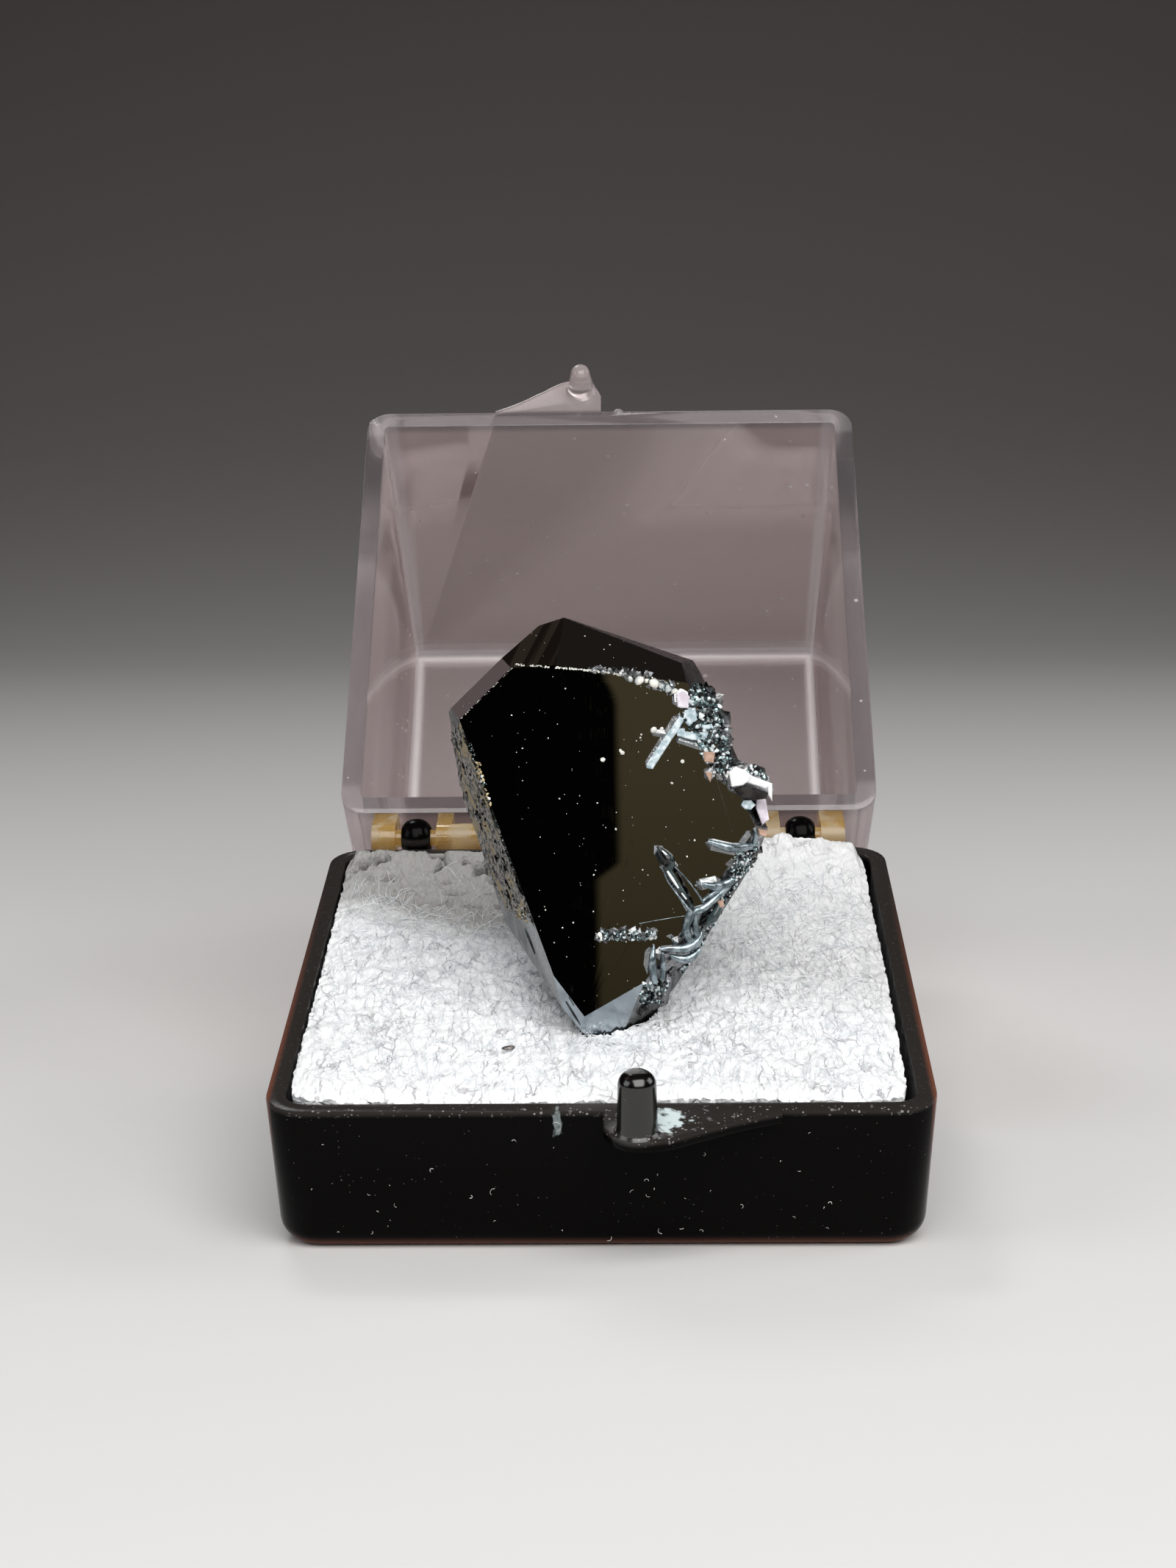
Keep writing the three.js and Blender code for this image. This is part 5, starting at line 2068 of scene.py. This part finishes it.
    def dust(self, where: Placement, own: BVHTree) -> None:
        """Models the pale specks that lie on the mirror face and the roof.

        Args:
            where: The frames.
            own: The crystal's surface in its own frame.
        """
        draw = Random(self.seed + 1)
        places = []
        spots = list(self.specks)
        for line, count, size in ((self.wear, 260, 0.034), (self.faint_wear, 70, 0.018)):
            strip = Strip(line, tuple((u, v + 0.07) for u, v in line), count, size)
            for _ in range(count):
                along = draw.random()
                if noise.noise(Vector((along * 14, count, 0))) > -0.18:
                    spots.append((*strip.place(along, draw.random()), size * draw.uniform(0.5, 1.5)))
        total = len(spots) + self.dust_count
        while len(spots) < total:
            u, v = draw.uniform(-6, 6.5), draw.uniform(1.5, 20)
            spots.append((u, v, 0.014 + 0.032 * draw.random() ** 3))
        for u, v, size in spots:
            found = self.front(own, u, v)
            spin = draw.uniform(0, math.tau)
            wide = draw.uniform(0.7, 1.3)
            if found is None or found[1].z < 0.55:
                continue
            lay = found[1].to_track_quat("Z", "Y").to_matrix().to_4x4() @ Matrix.Rotation(spin, 4, "Z")
            shape = Matrix.Diagonal((size * wide, size, size * 0.5, 1))
            places.append(Matrix.Translation(found[0]) @ lay @ shape)
        made = strewn("dust", Workpiece.ball("dust", 1), places)
        pale = Mineral("dust", where.crystal, (0.85, 0.84, 0.78), (0.5, 0.52, 0.48), 0.0, 0.6, 9.0)
        made.finish(where.crystal, Body.BOX, Slot.CRYSTAL, pale.material(), 0)


# The studio


@dataclass
class Studio:
    """The pale floor, the soft lights, two dim cards that the crystal reflects, and the camera."""

    focal_pixels: float = 3593.9
    long_side: float = 2133.0
    eye: Point = (2.26, -109.81, 59.60)
    pitch: float = 21.408
    yaw: float = 1.349
    roll: float = -0.898
    aim: Point = (0.0, -0.01, 0.012)

    def build(self, where: Placement) -> None:
        """Builds all of it.

        Args:
            where: The frames.
        """
        self.camera(where)
        self.floor()
        self.card()
        self.side_card()
        self.lamps()

    def camera(self, where: Placement) -> None:
        """Places the camera at the photograph's point of view.

        Args:
            where: The frames.
        """
        pitch, yaw, roll = (math.radians(angle) for angle in (self.pitch, self.yaw, self.roll))
        level = Vector((-math.sin(yaw), math.cos(yaw), 0))
        ahead = level * math.cos(pitch) - Vector((0, 0, math.sin(pitch)))
        side = Vector((math.cos(yaw), math.sin(yaw), 0))
        up = side.cross(ahead)
        right = side * math.cos(roll) + up * math.sin(roll)
        over = up * math.cos(roll) - side * math.sin(roll)
        turn = Matrix((right, over, -ahead)).transposed()
        lens = bpy.data.cameras.new("camera")
        lens.sensor_width = 36.0
        lens.lens = self.focal_pixels / self.long_side * lens.sensor_width
        lens.clip_start, lens.clip_end = 0.005, 20.0
        item = placed("camera", lens)
        item.rotation_mode = "QUATERNION"
        item.rotation_quaternion = (where.tray.to_3x3().normalized() @ turn).to_quaternion()
        item.location = where.tray @ Vector(self.eye)
        bpy.context.scene.camera = item

    def floor(self) -> None:
        """The paper: a wide floor that curves up far behind the object."""
        paper = Workpiece.grid("studio_paper", (-2.0, -0.9), (2.0, 0.8), 1.0)
        paper.select(Part.EDGES, lambda place, along: place.y > 0.79)
        bpy.ops.mesh.extrude_edges_move(TRANSFORM_OT_translate={"value": (0, 0, 1.6)})
        paper.bevel(0.5, 24, lambda place, along: place.z < 0.01 and place.y > 0.79)
        deselect_all()
        for face in paper.item.data.polygons:
            face.use_smooth = True
        paper.item.data.materials.append(PaperSweep("studio paper").material())

    def card(self) -> None:
        """A dim brown card far behind the camera, seen only in reflections."""
        middle = Vector((0.04, -0.5, 0.05))
        card = self.reflector("studio_card", 0.16, middle, (math.pi / 2, 0, 0))
        wider = Matrix.Scale(2, 4, (1, 0, 0))
        card.item.data.transform(Matrix.Translation(middle) @ wider @ Matrix.Translation(-middle))
        sheet = NodeSheet(card.item.data.materials[0].node_tree)
        x, _, z = sheet.axes(sheet.here())
        wide = sheet.times(sheet.rise(z, 0.038, 0.043), sheet.rise(z, 0.092, 0.078))
        bend = sheet.blend(wide, 0.0375, 0.0425)
        edge = sheet.rise(sheet.minus(x, bend), -0.0012, 0.0014)
        colour = sheet.mix(sheet.rise(z, 0.0, 0.08), (0.075, 0.060, 0.030), (0.13, 0.106, 0.056))
        self.glow(sheet, sheet.mix(edge, (0.002, 0.002, 0.002), colour))

    def side_card(self) -> None:
        """A dim mauve card to the upper left, seen only in the narrow bevel beside the mirror face."""
        card = self.reflector("studio_side_card", 0.13, (-0.222, 0.012, 0.28), (0.0, -0.712, 0.0))
        sheet = NodeSheet(card.item.data.materials[0].node_tree)
        cloud = sheet.noise(sheet.here(), 9.0, 1.0)
        self.glow(sheet, sheet.mix(cloud, (0.20, 0.15, 0.145), (0.38, 0.30, 0.29)))

    @staticmethod
    def reflector(name: str, size: float, place: Point, turn: Point) -> Workpiece:
        """A square card with a new material, which only reflections show.

        Args:
            name: Its name.
            size: Its width.
            place: Its middle.
            turn: Its rotation, in radians.

        Returns:
            The card.
        """
        deselect_all()
        bpy.ops.mesh.primitive_plane_add(size=size, location=place, rotation=turn)
        card = Workpiece(name)
        material = bpy.data.materials.new(name)
        material.use_nodes = True
        card.item.data.materials.append(material)
        card.item.visible_camera = False
        card.item.visible_diffuse = False
        return card

    @staticmethod
    def glow(sheet: NodeSheet, colour: Socket) -> None:
        """Lets a card's material shine in a colour."""
        light = sheet.add("Emission", {"Color": colour, "Strength": 1.0})
        sheet.feed(sheet.add("OutputMaterial").inputs["Surface"], light.outputs[0])

    def lamps(self) -> None:
        """Soft boxes to the front right, the left and the back, in a dark room."""
        rows = (
            ("key", (0.06, -0.26, 0.25), 0.34, 1.55, (1.0, 0.985, 0.96)),
            ("left", (-0.32, -0.15, 0.18), 0.22, 0.30, (0.95, 0.98, 1.0)),
            ("right", (0.34, 0.02, 0.20), 0.20, 0.32, (0.97, 0.98, 1.0)),
            ("back", (-0.15, 0.30, 0.48), 0.12, 0.45, (0.97, 0.98, 1.0)),
        )
        for name, place, size, power, colour in rows:
            lamp = bpy.data.lights.new(name, "AREA")
            lamp.shape = "SQUARE"
            lamp.size = size
            lamp.energy = power
            lamp.color = colour
            item = placed(name, lamp)
            item.location = place
            ahead = Vector(self.aim) - Vector(place)
            item.rotation_mode = "QUATERNION"
            item.rotation_quaternion = ahead.to_track_quat("-Z", "Y")
        world = bpy.data.worlds.new("room")
        world.use_nodes = True
        sheet = NodeSheet(world.node_tree)
        up = sheet.axes(sheet.here("Generated"))[2]
        sky = sheet.mix(sheet.rise(up, 0.35, 0.8), (0.0045, 0.0040, 0.0038), (0.034, 0.028, 0.024))
        light = sheet.add("Background", {"Color": sky, "Strength": 1.0}).outputs[0]
        sheet.feed(sheet.add("OutputWorld").inputs["Surface"], light)
        bpy.context.scene.world = world


def main() -> None:
    """Builds the studio and the object."""
    logging.basicConfig(level=logging.INFO, format="%(name)s: %(message)s")
    scene = bpy.context.scene
    scene.view_settings.view_transform = "Standard"
    where = Placement.from_record(frame["record"])
    Studio().build(where)
    Tray().build(where)
    Lid().build(where)
    surface = CrystalDetail().build(where)
    FoamPad().build(where, surface)


if __name__ == "__main__":
    main()
